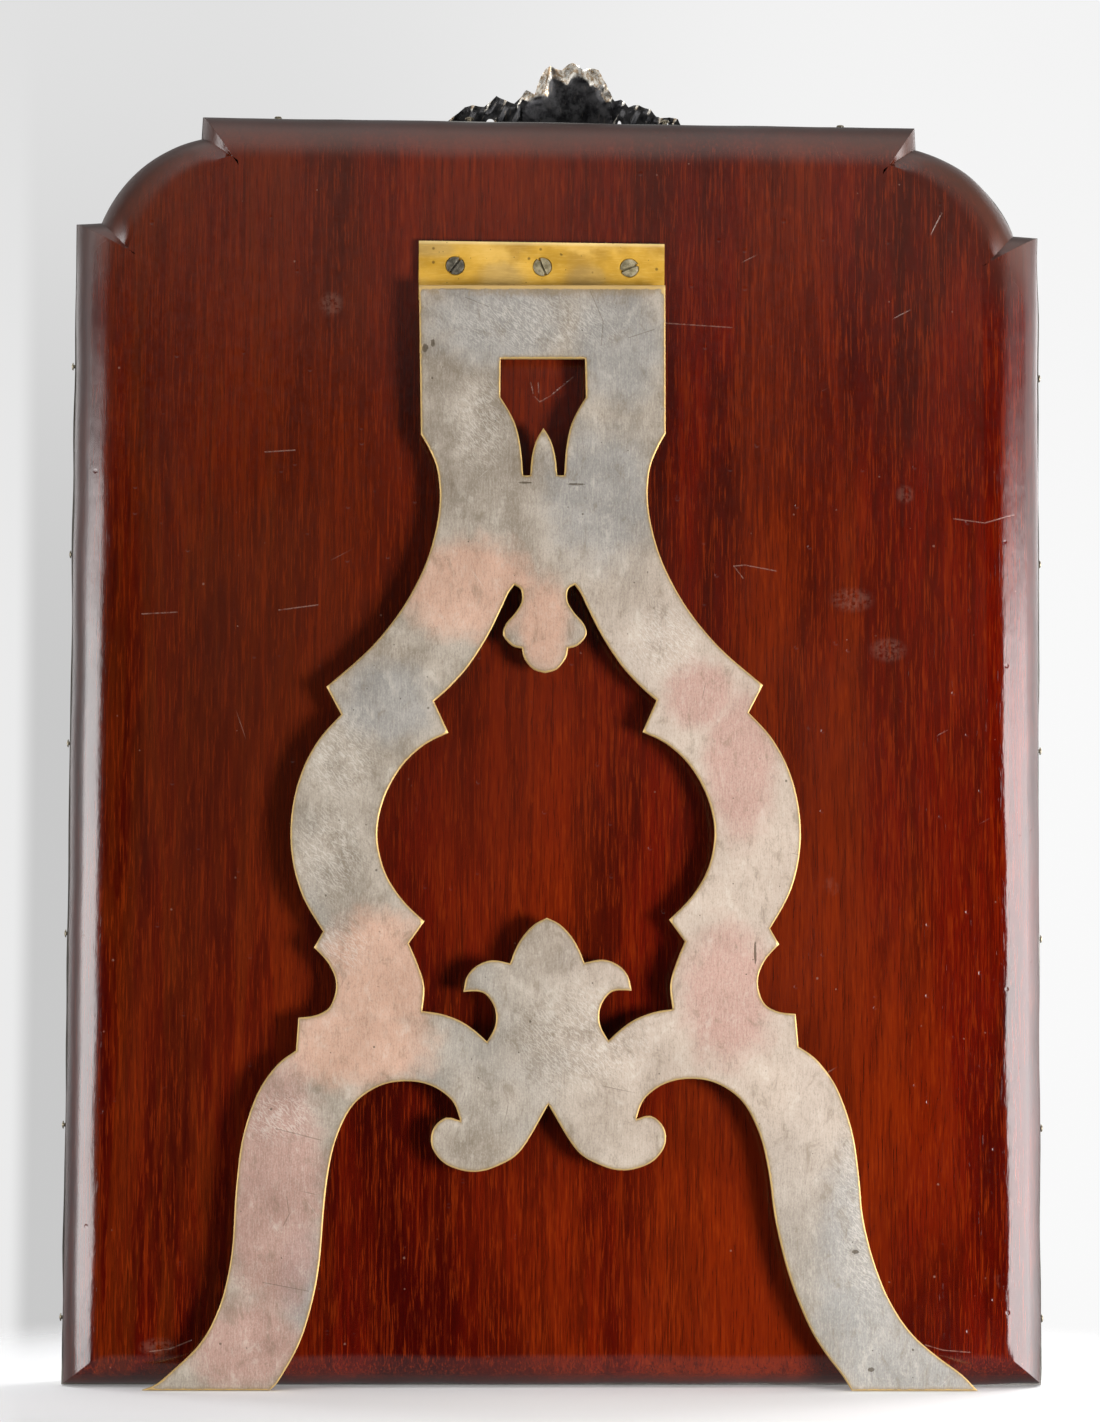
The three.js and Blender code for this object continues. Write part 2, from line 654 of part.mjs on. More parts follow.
const frame = new THREE.Group();
model.add(frame);
addTo(frame, 'back_board', backBoard(), mahogany());
for (const { name, geometry } of coreMembers()) {
  addTo(frame, name, geometry, corePine());
}
addTo(frame, 'mirror_plate', mirrorPlate(), mirrorGlass());
addTo(frame, 'mirror_backing',
  plate(frameOutline(GLASS_INSET), BACKING_FRONT_Y, BACKING_FRONT_Y + BACKING_THICK), card());
addGlazingBlocks(frame);
addTo(frame, 'front_mount', frontMount(), silver());
addNails(frame);
addTo(frame, 'crest', crest(), tarnishedSilver());
for (const [side, x] of Object.entries(CREST_PIN_PLACES)) {
  const pin = addTo(frame, `crest_pin_${side}`, domedNail(CREST_PIN, 12), steel());
  pin.position.set(x, CREST_PIN.y, MOUNT_TOP_Z + GAP + CREST_FOOT.height);
  pin.rotation.x = Math.PI / 2;
}

const hinge = new THREE.Group();
frame.add(hinge);
addTo(hinge, 'hinge_leaf', hingeLeaf(), brass());
addHingeScrews(hinge);
addTo(hinge, 'hinge_pin', hingePin(), steel());

const easel = new THREE.Group();
model.add(easel);
addTo(easel, 'strut_leaf', strutLeaf(), brass());
addTo(easel, 'strut', strut(), silverPlate());

export default model;
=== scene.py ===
"""Looks of an easel-back table mirror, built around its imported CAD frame.

It stands upright with +Z up. The mirror faces -Y, and the easel strut is on the +Y side.
Lengths are in metres.
"""

import math

import bmesh
import bpy
import numpy as np
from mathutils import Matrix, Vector, geometry, noise

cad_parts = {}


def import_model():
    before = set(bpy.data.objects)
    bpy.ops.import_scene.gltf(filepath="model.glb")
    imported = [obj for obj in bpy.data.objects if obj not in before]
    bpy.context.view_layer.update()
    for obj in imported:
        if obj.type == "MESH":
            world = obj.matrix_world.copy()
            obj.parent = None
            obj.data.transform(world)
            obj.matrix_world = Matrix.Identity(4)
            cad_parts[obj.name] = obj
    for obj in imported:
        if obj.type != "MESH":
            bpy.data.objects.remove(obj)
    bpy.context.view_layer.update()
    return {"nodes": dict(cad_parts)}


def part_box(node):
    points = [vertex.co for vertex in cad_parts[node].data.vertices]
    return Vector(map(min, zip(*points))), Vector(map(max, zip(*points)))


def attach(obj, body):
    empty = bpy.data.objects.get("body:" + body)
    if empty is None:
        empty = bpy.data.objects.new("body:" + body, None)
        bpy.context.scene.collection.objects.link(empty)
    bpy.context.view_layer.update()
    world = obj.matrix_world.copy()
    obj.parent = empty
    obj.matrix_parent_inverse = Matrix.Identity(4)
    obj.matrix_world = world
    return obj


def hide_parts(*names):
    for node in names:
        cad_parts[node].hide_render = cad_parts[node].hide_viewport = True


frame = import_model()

MM = 0.001
scene = bpy.context.scene

# ---------------------------------------------------------------- places and sizes from the frame

BOARD_LOW, BOARD_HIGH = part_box("back_board")
MOUNT_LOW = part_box("front_mount")[0]
GLASS_LOW, GLASS_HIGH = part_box("mirror_plate")
STRUT_LOW, STRUT_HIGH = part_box("strut")
CREST_LOW, CREST_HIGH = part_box("crest")
LEAF_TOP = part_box("hinge_leaf")[1].z
HALF_WIDTH = BOARD_HIGH.x

# ---------------------------------------------------------------- sizes of the looks

SKIRT_BACK = 9 * MM  # where the mount's edge ends and the board's rounding starts
ROUND_STEPS = 22
ROUND_END = math.radians(89)  # the rounding runs out into the flat back
NOTCH_REACH = 8 * MM  # how far the carved valley at each inner corner spreads along the edge
NOTCH_DEPTH = 1.3 * MM
VALLEY_SCALE = 3.07  # brings the peak of share ** 1.5 * sqrt(1 - share) to about 1
WEAR_START = 0.385  # the finish starts to be worn at this height
WEAR_RISE = 0.03  # and is fully worn this much higher
CORNER_STEPS = 30
SIDE_STEP = 6 * MM
SIGHT_INSET = 46 * MM

MOUNT_SHEET = 0.8 * MM
MOUNT_LAND = 11 * MM
FOLD_RADIUS = 2 * MM
RUBBED_TOP = (-75 * MM, 60 * MM)  # where the mount's top edge has been rubbed bright
CUSHION_START = 4.5 * MM
CUSHION_RISE = 5 * MM
BEAD_START = 38.2 * MM
BEAD_RADIUS = 2.2 * MM
SIGHT_LIP = 8.8 * MM

CHAMFER = 0.6 * MM
WORN_CHAMFER = 0.38 * MM
OUTLINE_STEP = 1.3 * MM


# ---------------------------------------------------------------- outlines, as (x, z) points


def arc(centre_x, centre_z, radius, from_deg, to_deg):
    points = []
    for i in range(CORNER_STEPS + 1):
        angle = math.radians(from_deg + (to_deg - from_deg) * i / CORNER_STEPS)
        points.append((centre_x + radius * math.cos(angle), centre_z + radius * math.sin(angle)))
    return points


def mirrored(half):
    return half + [(-x, z) for x, z in reversed(half)]


def in_metres(points):
    return [(x * MM, z * MM) for x, z in points]


# Each top corner is a short step, a wide arc and another short step.
EDGE = mirrored(in_metres([(175, 0), (175, 416), *arc(118.7, 398.7, 50.6, 20.6, 77), (129.7, 456)]))
SIGHT = mirrored(in_metres([(129, 46), (129, 373), *arc(93, 374, 36, 0, 90), (92, 410)]))
FLAT_BACK = mirrored(in_metres([(160.5, 11.5), (157, 406), *arc(108.5, 391.5, 50, 17, 77.5), (119, 440)]))


def split_sides(outline):
    """The outline with its long sides split into steps, at the same places on each of the three outlines."""
    split = []
    for i, (x, z) in enumerate(outline):
        next_x, next_z = outline[(i + 1) % len(outline)]
        (ex, ez), (fx, fz) = EDGE[i], EDGE[(i + 1) % len(EDGE)]
        steps = max(1, round(math.hypot(fx - ex, fz - ez) / SIDE_STEP))
        split += [(x + (next_x - x) * s / steps, z + (next_z - z) * s / steps) for s in range(steps)]
    return split


INNER_CORNERS = [EDGE[2], EDGE[2 + CORNER_STEPS], EDGE[-3], EDGE[-3 - CORNER_STEPS]]
EDGE_POINTS = split_sides(EDGE)
SIGHT_POINTS = split_sides(SIGHT)
BACK_POINTS = split_sides(FLAT_BACK)


def between(outline, other, share):
    """The outline moved towards another one by a share, on the frame's own height."""
    return [
        (x + (ox - x) * share, z + (oz - z) * share + BOARD_LOW.z)
        for (x, z), (ox, oz) in zip(outline, other)
    ]


def inset_outline(inset):
    return between(EDGE_POINTS, SIGHT_POINTS, inset / SIGHT_INSET)


def wobble(x, z, seed, size=0.03):
    """A smooth value from about -1 to 1 that wanders along the outline."""
    return 1.6 * noise.noise(Vector((x / size, z / size, seed)))


# ---------------------------------------------------------------- meshes


def add_object(name, vertices, faces, material, sharp_angle=30):
    mesh = bpy.data.meshes.new(name)
    mesh.from_pydata([tuple(v) for v in vertices], [], faces)
    mesh.validate()
    mesh.materials.append(material)
    mesh.shade_smooth()
    mesh.set_sharp_from_angle(angle=math.radians(sharp_angle))
    piece = bpy.data.objects.new(name, mesh)
    scene.collection.objects.link(piece)
    return piece


def face_out(piece):
    """Turns all faces of a closed mesh outwards."""
    work = bmesh.new()
    work.from_mesh(piece.data)
    bmesh.ops.remove_doubles(work, verts=work.verts, dist=1e-7)
    bmesh.ops.recalc_face_normals(work, faces=work.faces)
    work.to_mesh(piece.data)
    work.free()


def loft(rings, closed_tube):
    """Vertices and faces of rings of (x, z) points, each at its own y. A tube's last ring meets its first."""
    count = len(rings[0][0])
    vertices = [(x, y, z) for outline, y in rings for x, z in outline]
    faces = []
    spans = len(rings) if closed_tube else len(rings) - 1
    for ring in range(spans):
        after = (ring + 1) % len(rings)
        for i in range(count):
            j = (i + 1) % count
            faces.append((ring * count + i, ring * count + j, after * count + j, after * count + i))
    if not closed_tube:
        faces.append(tuple(range(count)))
        faces.append(tuple(reversed(range((len(rings) - 1) * count, len(rings) * count))))
    return vertices, faces


def add_bevel(piece, width, angle=25, segments=2):
    bevel = piece.modifiers.new("worn_edges", "BEVEL")
    bevel.width = width
    bevel.segments = segments
    bevel.limit_method = "ANGLE"
    bevel.angle_limit = math.radians(angle)


def store(piece, name, values):
    """Keeps one number for each vertex, for the piece's material."""
    attribute = piece.data.attributes.new(name, "FLOAT", "POINT")
    attribute.data.foreach_set("value", np.array(values, np.float32))


# ---------------------------------------------------------------- node helpers


class Nodes:
    """Short calls that build a node tree."""

    def __init__(self, tree):
        self.tree = tree

    def link(self, source, target):
        if isinstance(source, (int, float)):
            target.default_value = source
        elif isinstance(source, tuple):
            target.default_value = source if len(source) == len(target.default_value) else (*source, 1)
        else:
            self.tree.links.new(source, target)

    def math(self, operation, a, b=0.0, c=0.0):
        node = self.tree.nodes.new("ShaderNodeMath")
        node.operation = operation
        for value, socket in zip((a, b, c), node.inputs):
            self.link(value, socket)
        return node.outputs[0]

    def times(self, a, b):
        return self.math("MULTIPLY", a, b)

    def plus(self, a, b):
        return self.math("ADD", a, b)

    def larger(self, a, b):
        return self.math("MAXIMUM", a, b)

    def mix(self, share, a, b):
        node = self.tree.nodes.new("ShaderNodeMix")
        node.data_type = "RGBA"
        self.link(share, node.inputs["Factor"])
        self.link(a, node.inputs["A"])
        self.link(b, node.inputs["B"])
        return node.outputs["Result"]

    def ramp(self, value, low, high, to_low=0.0, to_high=1.0):
        node = self.tree.nodes.new("ShaderNodeMapRange")
        node.interpolation_type = "SMOOTHSTEP"
        for source, socket in zip((value, low, high, to_low, to_high), node.inputs):
            self.link(source, socket)
        return node.outputs["Result"]

    def vector(self, operation, a, b=None, scale=None):
        node = self.tree.nodes.new("ShaderNodeVectorMath")
        node.operation = operation
        self.link(a, node.inputs[0])
        if b is not None:
            self.link(b, node.inputs[1])
        if scale is not None:
            self.link(scale, node.inputs["Scale"])
        return node.outputs["Value" if operation in ("LENGTH", "DOT_PRODUCT") else "Vector"]


class Material(Nodes):
    """A new material: its node tree, its shader and the place on the piece."""

    def __init__(self, name):
        self.material = bpy.data.materials.new(name)
        self.material.use_nodes = True
        super().__init__(self.material.node_tree)
        self.shader = self.tree.nodes["Principled BSDF"]
        self.place = self.tree.nodes.new("ShaderNodeTexCoord").outputs["Object"]
        self.flat_place = self.vector("MULTIPLY", self.place, (1, 0, 1))

    def tinted(self, colour, share, strength, tone):
        """The colour with a tone laid over it where the share is high."""
        return self.mix(self.times(share, strength), colour, tone)

    def scaled(self, scale, shift=(0, 0, 0)):
        node = self.tree.nodes.new("ShaderNodeMapping")
        node.inputs["Scale"].default_value = scale
        node.inputs["Location"].default_value = shift
        self.link(self.place, node.inputs["Vector"])
        return node.outputs["Vector"]

    def noise(self, scale, shift=(0, 0, 0), detail=2.0, roughness=0.5, distortion=0.0):
        node = self.tree.nodes.new("ShaderNodeTexNoise")
        node.inputs["Scale"].default_value = 1.0
        node.inputs["Detail"].default_value = detail
        node.inputs["Roughness"].default_value = roughness
        node.inputs["Distortion"].default_value = distortion
        self.link(self.scaled(scale, shift), node.inputs["Vector"])
        return node.outputs["Fac"]

    def specks(self, per_metre, size, share, shift=(0, 0, 0)):
        """Small soft dots: size is a share of their spacing, and share is how many of them show."""
        node = self.tree.nodes.new("ShaderNodeTexVoronoi")
        node.inputs["Scale"].default_value = 1.0
        self.link(self.scaled((per_metre,) * 3, shift), node.inputs["Vector"])
        dot = self.ramp(node.outputs["Distance"], size, size * 0.4)
        split = self.tree.nodes.new("ShaderNodeSeparateColor")
        self.link(node.outputs["Color"], split.inputs["Color"])
        shown = self.math("LESS_THAN", split.outputs["Red"], share)
        return self.times(dot, shown)

    def hairlines(self, turn, spacing, length, edge, shift=(0, 0, 0)):
        """Thin scratches that run one way on the faces across Y; a higher edge leaves fewer of them."""
        turned = self.tree.nodes.new("ShaderNodeMapping")
        turned.vector_type = "TEXTURE"
        turned.inputs["Rotation"].default_value = (0, math.radians(turn), 0)
        turned.inputs["Scale"].default_value = (spacing, 1, length)
        turned.inputs["Location"].default_value = shift
        self.link(self.place, turned.inputs["Vector"])
        field = self.tree.nodes.new("ShaderNodeTexNoise")
        field.inputs["Scale"].default_value = 1.0
        field.inputs["Detail"].default_value = 1.0
        self.link(turned.outputs["Vector"], field.inputs["Vector"])
        return self.ramp(field.outputs["Fac"], edge, edge + 0.04)

    def stroke(self, points, width):
        """A thin scratch through (x, z) points in millimetres."""
        mask = 0.0
        for (ax, az), (bx, bz) in zip(points, points[1:]):
            run = Vector(((bx - ax) * MM, 0, (bz - az) * MM))
            away = self.vector("SUBTRACT", self.flat_place, (ax * MM, 0, az * MM))
            share = self.vector("DOT_PRODUCT", away, tuple(run / run.length_squared))
            share = self.math("MINIMUM", self.larger(share, 0.0), 1.0)
            gap = self.vector("SUBTRACT", away, self.vector("SCALE", tuple(run), scale=share))
            near = self.ramp(self.vector("LENGTH", gap), width * MM, width * MM * 0.3)
            mask = self.larger(mask, near)
        return mask

    def strokes(self, lines, width):
        mask = 0.0
        for points in lines:
            mask = self.larger(mask, self.stroke(points, width))
        return mask

    def patches(self, places, fray, soft=0.75):
        """Soft stains as (x, z, half width, half height) in millimetres, with edges frayed by a noise."""
        mask = 0.0
        for x, z, wide, high in places:
            away = self.vector("SUBTRACT", self.flat_place, (x * MM, 0, z * MM))
            shrunk = self.vector("MULTIPLY", away, (1 / (wide * MM), 0, 1 / (high * MM)))
            reach = self.vector("LENGTH", shrunk)
            reach = self.math("MULTIPLY_ADD", fray, 0.9, self.math("SUBTRACT", reach, 0.45))
            mask = self.larger(mask, self.ramp(reach, 1.0 + soft / 2, 1.0 - soft / 2))
        return mask

    def along(self, axis):
        node = self.tree.nodes.new("ShaderNodeSeparateXYZ")
        self.link(self.place, node.inputs[0])
        return node.outputs[axis]

    def kept(self, name):
        node = self.tree.nodes.new("ShaderNodeAttribute")
        node.attribute_name = name
        return node.outputs["Fac"]

    def bump(self, height, distance, strength=1.0, after=None):
        node = self.tree.nodes.new("ShaderNodeBump")
        node.inputs["Strength"].default_value = strength
        node.inputs["Distance"].default_value = distance
        self.link(height, node.inputs["Height"])
        if after is not None:
            self.link(after, node.inputs["Normal"])
        return node.outputs["Normal"]

    def finish(self, colour, roughness, metallic=0.0, normal=None, **fixed):
        self.link(colour, self.shader.inputs["Base Color"])
        self.link(roughness, self.shader.inputs["Roughness"])
        self.link(metallic, self.shader.inputs["Metallic"])
        if normal is not None:
            self.link(normal, self.shader.inputs["Normal"])
        for name, value in fixed.items():
            self.shader.inputs[name.replace("_", " ")].default_value = value
        return self.material


# ---------------------------------------------------------------- marks of use, in millimetres

# Scratches as (x, z) points.
BOARD_SCRATCHES = [
    [(-138.6, 424.3), (-134.5, 416.1)],
    [(-142.8, 312.4), (-154.1, 311.0), (-165.0, 314.1)],
    [(-66.2, 290.1), (-62.9, 294.4), (-66.9, 294.8), (-78.1, 292.8)],
    [(106.4, 333.9), (95.6, 334.7)],
    [(100.8, 276.9), (86.8, 278.9)],
    [(149.7, 275.0), (137.2, 275.8)],
    [(10.8, 360.1), (10.0, 356.4)],
    [(8.2, 360.1), (7.9, 356.5)],
    [(9.3, 355.0), (7.5, 353.2), (3.2, 355.8), (-4.4, 362.4)],
    [(-132.3, 15.6), (-138.4, 13.8), (-148.1, 13.0)],
    [(143.8, 13.0), (136.8, 14.0), (129.4, 17.0)],
    [(-38, 382.5), (-62, 381.2)],
]
STRUT_SCRATCHES = [
    [(35.0, 389.2), (26.5, 386.0)],
    [(-9.9, 392.1), (-14.6, 381.3), (-13.9, 372.4)],
    [(-23.6, 375.3), (-33.0, 378.5)],
    [(61, 219), (60, 209), (62, 201)],
    [(96, 68), (95, 62), (97, 58)],
    [(100, 92), (84, 88)],
    [(104, 38), (88, 35)],
]
# Stains as (x, z, half width, half height).
BOARD_SMUDGES = [
    (-105.7, 282.5, 7, 4), (-118.8, 264.5, 6, 4), (141, 14.5, 6, 3), (83, 388, 4, 4), (-125, 321, 3, 3),
]
SALMON_PATCHES = [(32, 284, 24, 17), (6, 272, 9, 16), (64, 147, 21, 22), (72, 122, 26, 15)]
ROSE_PATCHES = [
    (100, 70, 17, 46), (110, 16, 20, 15), (-64, 222, 12, 26), (-50, 247, 12, 12), (-60, 140, 16, 24),
]
COOL_PATCHES = [
    (24, 380, 22, 16), (-20, 372, 16, 20), (62, 243, 16, 14), (-14, 318, 20, 24), (90, 40, 8, 18),
    (-112, 44, 20, 42), (-126, 10, 24, 14),
]
RUBBED_PATCHES = [
    (78, 224, 12, 14), (82, 190, 12, 16), (78, 157, 9, 10), (-37, 266, 12, 12), (-8, 124, 22, 18),
    (-112, 72, 12, 40), (10, 380, 30, 10), (100, 96, 12, 8), (30, 345, 9, 16),
]
STRUT_PITS = [
    (49.3, 370.8, 1.1, 1.5), (46.5, 372.6, 0.8, 1.3), (-105.6, 49.2, 1.3, 0.7), (-111.3, 7.7, 1.2, 0.8),
    (13, 322.6, 2.4, 0.35), (-5, 322.2, 3.0, 0.4), (-69.8, 155, 0.5, 4.0),
]
ORANGE_PATCHES = [(40, 400, 13, 9), (6, 402, 9, 9), (-26, 400, 15, 9)]
GREY_PATCHES = [(22, 398, 8, 5), (-9, 398, 7, 5), (46, 408, 7, 3)]

# ---------------------------------------------------------------- materials


def mahogany():
    n = Material("mahogany")
    zones = n.noise((14, 14, 2.4), (3.1, 0, 0.4), detail=3, distortion=0.6)
    drift = n.noise((30, 30, 5), (8, 0, 2), detail=3, roughness=0.55, distortion=0.8)
    bands = n.noise((105, 105, 8), (0.7, 0, 1.3), detail=4, roughness=0.6, distortion=1.2)
    streaks = n.noise((500, 500, 16), (0.2, 0, 0.1), detail=3, roughness=0.65, distortion=0.8)
    fibres = n.noise((1500, 1500, 85), detail=2, roughness=0.7, distortion=0.4)
    clouds = n.noise((9, 9, 7), (5.5, 0, 2.0), detail=3)
    # painted light: the warm tone grows towards -X, the side the lights fall on; the warm zones themselves
    # are the wood's own tone
    lit_right = n.ramp(n.along("X"), 0.06, -0.15)

    colour = n.mix(n.ramp(drift, 0.36, 0.64), (0.0190, 0.00040, 0.00010), (0.0540, 0.0017, 0.00020))
    warm = n.times(n.ramp(zones, 0.44, 0.66), n.math("MULTIPLY_ADD", lit_right, 0.6, 0.4))
    colour = n.mix(warm, colour, (0.0930, 0.0080, 0.0006))
    brown = n.times(n.ramp(n.along("X"), 0.05, 0.13), n.ramp(bands, 0.40, 0.62))
    colour = n.tinted(colour, brown, 0.5, (0.0620, 0.0085, 0.0007))
    colour = n.tinted(colour, n.ramp(bands, 0.54, 0.36), 0.36, (0.0130, 0.0004, 0.0002))
    colour = n.tinted(colour, n.ramp(streaks, 0.50, 0.30), 0.38, (0.0130, 0.0005, 0.0002))
    colour = n.tinted(colour, n.ramp(streaks, 0.52, 0.74), 0.42, (0.1150, 0.0105, 0.0006))
    colour = n.tinted(colour, n.ramp(fibres, 0.48, 0.28), 0.50, (0.0130, 0.0006, 0.0002))
    colour = n.tinted(colour, n.ramp(fibres, 0.50, 0.72), 0.48, (0.1300, 0.0145, 0.0012))
    colour = n.tinted(colour, n.ramp(clouds, 0.50, 0.72), 0.35, (0.0300, 0.0016, 0.0005))
    shade = n.times(n.ramp(n.along("X"), 0.0, 0.12), n.ramp(n.along("Z"), 0.10, 0.30))
    colour = n.tinted(colour, shade, 0.35, (0.0200, 0.0030, 0.0006))

    rounding = n.kept("rounding")
    worn = n.times(n.kept("corner_wear"), n.ramp(clouds, 0.30, 0.60, 0.4, 1.0))
    colour = n.tinted(colour, worn, 0.70, (0.050, 0.018, 0.009))
    edge = n.times(n.ramp(rounding, 0.45, 1.0), 0.55)
    colour = n.mix(edge, colour, (0.0100, 0.0016, 0.0008))
    dust = n.larger(n.specks(95, 0.055, 0.16), n.specks(260, 0.10, 0.04, (2, 2, 2)))
    rubs = n.ramp(n.noise((48, 48, 30), (7, 0, 3), detail=4, roughness=0.7), 0.68, 0.80)
    fray = n.noise((700, 700, 700), (3, 3, 3), detail=3, roughness=0.7)
    rubs = n.larger(rubs, n.patches(BOARD_SMUDGES, fray))
    rubs = n.times(rubs, n.ramp(fray, 0.35, 0.65))
    marks = n.hairlines(20, 0.0016, 0.040, 0.79, (0, 0, 4))
    marks = n.larger(marks, n.hairlines(-62, 0.0014, 0.030, 0.79))
    scratches = n.times(n.strokes(BOARD_SCRATCHES, 0.26), n.ramp(fray, 0.30, 0.60, 0.15, 0.8))
    marks = n.larger(n.times(marks, 0.5), scratches)
    pale = n.plus(n.times(dust, 0.7), n.times(rubs, 0.30))
    pale = n.math("MINIMUM", n.plus(pale, marks), 1.0)
    colour = n.tinted(colour, pale, 0.55, (0.17, 0.095, 0.070))

    haze = n.noise((26, 26, 17), (1, 0, 9), detail=4, roughness=0.65)
    roughness = n.ramp(haze, 0.30, 0.75, 0.07, 0.13)
    roughness = n.plus(roughness, n.ramp(rounding, 0.05, 0.40, 0.0, 0.11))
    roughness = n.plus(roughness, n.ramp(rounding, 0.60, 0.85, 0.0, 0.30))
    roughness = n.plus(roughness, n.times(worn, 0.20))
    roughness = n.plus(roughness, n.times(pale, 0.15))
    peel = n.noise((330, 330, 150), (4, 4, 4), detail=2)
    dents = n.specks(210, 0.20, 0.10, (8, 1, 3))
    pores = n.ramp(fibres, 0.46, 0.30)
    normal = n.bump(peel, 0.00016, 0.40)
    normal = n.bump(pores, 0.00002, 0.4, normal)
    normal = n.bump(n.plus(dents, marks), -0.00010, 0.7, normal)
    return n.finish(colour, roughness, 0.0, normal, IOR=1.58)


def silvered_brass():
    n = Material("silvered_brass")
    clouds = n.noise((52, 52, 45), (0, 0, 5), detail=5, roughness=0.7)
    cool = n.noise((17, 17, 14), (6.2, 0, 1.1), detail=3)
    grain = n.noise((2300, 2300, 1300), (1, 0, 4), detail=3, roughness=0.7)
    brush = n.noise((2300, 2300, 260), detail=2, roughness=0.6)
    fray = n.noise((95, 95, 95), (4, 0, 4), detail=5, roughness=0.65)
    # painted light: the strut is tinted brighter in its lower part, most of all towards -X, where the key
    # light falls
    low = n.times(n.ramp(n.along("Z"), 0.33, 0.25), n.ramp(n.along("Z"), 0.02, 0.13))
    lit_right = n.times(n.ramp(n.along("X"), 0.03, -0.05), low)

    colour = n.mix(n.ramp(clouds, 0.36, 0.64), (0.218, 0.180, 0.138), (0.325, 0.278, 0.226))
    colour = n.tinted(colour, n.ramp(cool, 0.50, 0.66), 0.5, (0.215, 0.205, 0.185))
    colour = n.tinted(colour, lit_right, 0.75, (0.430, 0.340, 0.275))
    colour = n.tinted(colour, n.patches(COOL_PATCHES, fray), 0.55, (0.220, 0.225, 0.225))
    colour = n.tinted(colour, n.patches(SALMON_PATCHES, fray), 0.72, (0.520, 0.295, 0.205))
    colour = n.tinted(colour, n.patches(ROSE_PATCHES, fray), 0.70, (0.350, 0.185, 0.150))
    colour = n.tinted(colour, n.ramp(grain, 0.50, 0.72), 0.34, (0.44, 0.39, 0.33))
    colour = n.tinted(colour, n.ramp(grain, 0.50, 0.30), 0.34, (0.120, 0.100, 0.078))
    colour = n.tinted(colour, n.ramp(brush, 0.50, 0.72), 0.22, (0.44, 0.39, 0.33))
    colour = n.tinted(colour, n.ramp(brush, 0.50, 0.30), 0.22, (0.130, 0.105, 0.080))

    rubbed = n.hairlines(38, 0.0005, 0.0035, 0.56, (3, 0, 1))
    rubbed = n.larger(rubbed, n.hairlines(65, 0.0004, 0.003, 0.58))
    rubbed = n.times(rubbed, n.patches(RUBBED_PATCHES, fray, 1.2))
    stray = n.hairlines(35, 0.0009, 0.022, 0.76)
    stray = n.larger(stray, n.hairlines(-48, 0.0009, 0.018, 0.77, (3, 0, 1)))
    light_lines = n.larger(rubbed, n.times(stray, 0.6))
    dark_lines = n.hairlines(78, 0.0010, 0.026, 0.76, (9, 0, 2))
    dark_lines = n.larger(dark_lines, n.hairlines(-12, 0.001, 0.02, 0.77))
    dark_lines = n.larger(dark_lines, n.strokes(STRUT_SCRATCHES, 0.24))
    colour = n.tinted(colour, light_lines, 0.36, (0.56, 0.52, 0.46))
    colour = n.tinted(colour, dark_lines, 0.50, (0.085, 0.062, 0.042))
    pits = n.larger(n.specks(110, 0.07, 0.22), n.specks(420, 0.16, 0.05, (1, 5, 2)))
    gnawed = n.noise((1300, 1300, 1300), (8, 0, 1), detail=3)
    pits = n.larger(pits, n.patches(STRUT_PITS, gnawed, 0.4))
    colour = n.tinted(colour, pits, 0.75, (0.040, 0.026, 0.012))
    soil = n.noise((160, 160, 90), (2, 0, 7), detail=5, roughness=0.75, distortion=0.5)
    colour = n.tinted(colour, n.ramp(soil, 0.52, 0.68), 0.40, (0.130, 0.095, 0.060))
    colour = n.tinted(colour, n.ramp(soil, 0.46, 0.32), 0.28, (0.520, 0.470, 0.400))

    rim = n.kept("rim")
    chewed = n.noise((420, 420, 420), (2, 0, 2), detail=4, roughness=0.7)
    bare = n.ramp(n.plus(rim, n.math("MULTIPLY_ADD", chewed, 0.6, -0.3)), 0.72, 0.92)
    stain = n.ramp(n.plus(rim, n.math("MULTIPLY_ADD", chewed, 0.9, -0.45)), 0.10, 0.70)
    colour = n.tinted(colour, stain, 0.55, (0.185, 0.120, 0.045))
    colour = n.mix(bare, colour, (0.430, 0.285, 0.105))

    roughness = n.ramp(clouds, 0.30, 0.75, 0.44, 0.58)
    normal = n.bump(grain, 0.00003, 0.5)
    normal = n.bump(dark_lines, -0.00004, 0.5, normal)
    normal = n.bump(pits, -0.00012, 0.8, normal)
    return n.finish(colour, roughness, 0.62, normal)


def brass():
    n = Material("brass")
    clouds = n.noise((70, 70, 90), (2, 0, 1), detail=4, roughness=0.65)
    brush = n.noise((260, 2400, 2400), detail=2, roughness=0.6)
    fray = n.noise((220, 220, 220), (4, 0, 4), detail=4, roughness=0.65)
    colour = n.mix(n.ramp(clouds, 0.35, 0.65), (0.55, 0.305, 0.050), (0.72, 0.440, 0.095))
    colour = n.tinted(colour, n.patches(ORANGE_PATCHES, fray), 0.50, (0.66, 0.35, 0.018))
    colour = n.tinted(colour, n.patches(GREY_PATCHES, fray), 0.45, (0.40, 0.28, 0.12))
    colour = n.tinted(colour, n.ramp(brush, 0.45, 0.75), 0.25, (0.80, 0.54, 0.17))
    top = n.times(n.ramp(n.along("Z"), LEAF_TOP - 1.6 * MM, LEAF_TOP - 0.2 * MM), 0.7)
    colour = n.mix(top, colour, (0.86, 0.66, 0.30))
    spots = n.larger(n.specks(260, 0.20, 0.14), n.specks(700, 0.2, 0.08, (3, 1, 2)))
    colour = n.tinted(colour, spots, 0.7, (0.10, 0.055, 0.012))
    roughness = n.ramp(clouds, 0.3, 0.7, 0.36, 0.50)
    normal = n.bump(brush, 0.00003, 0.5)
    normal = n.bump(spots, -0.00006, 0.6, normal)
    return n.finish(colour, roughness, 0.75, normal)


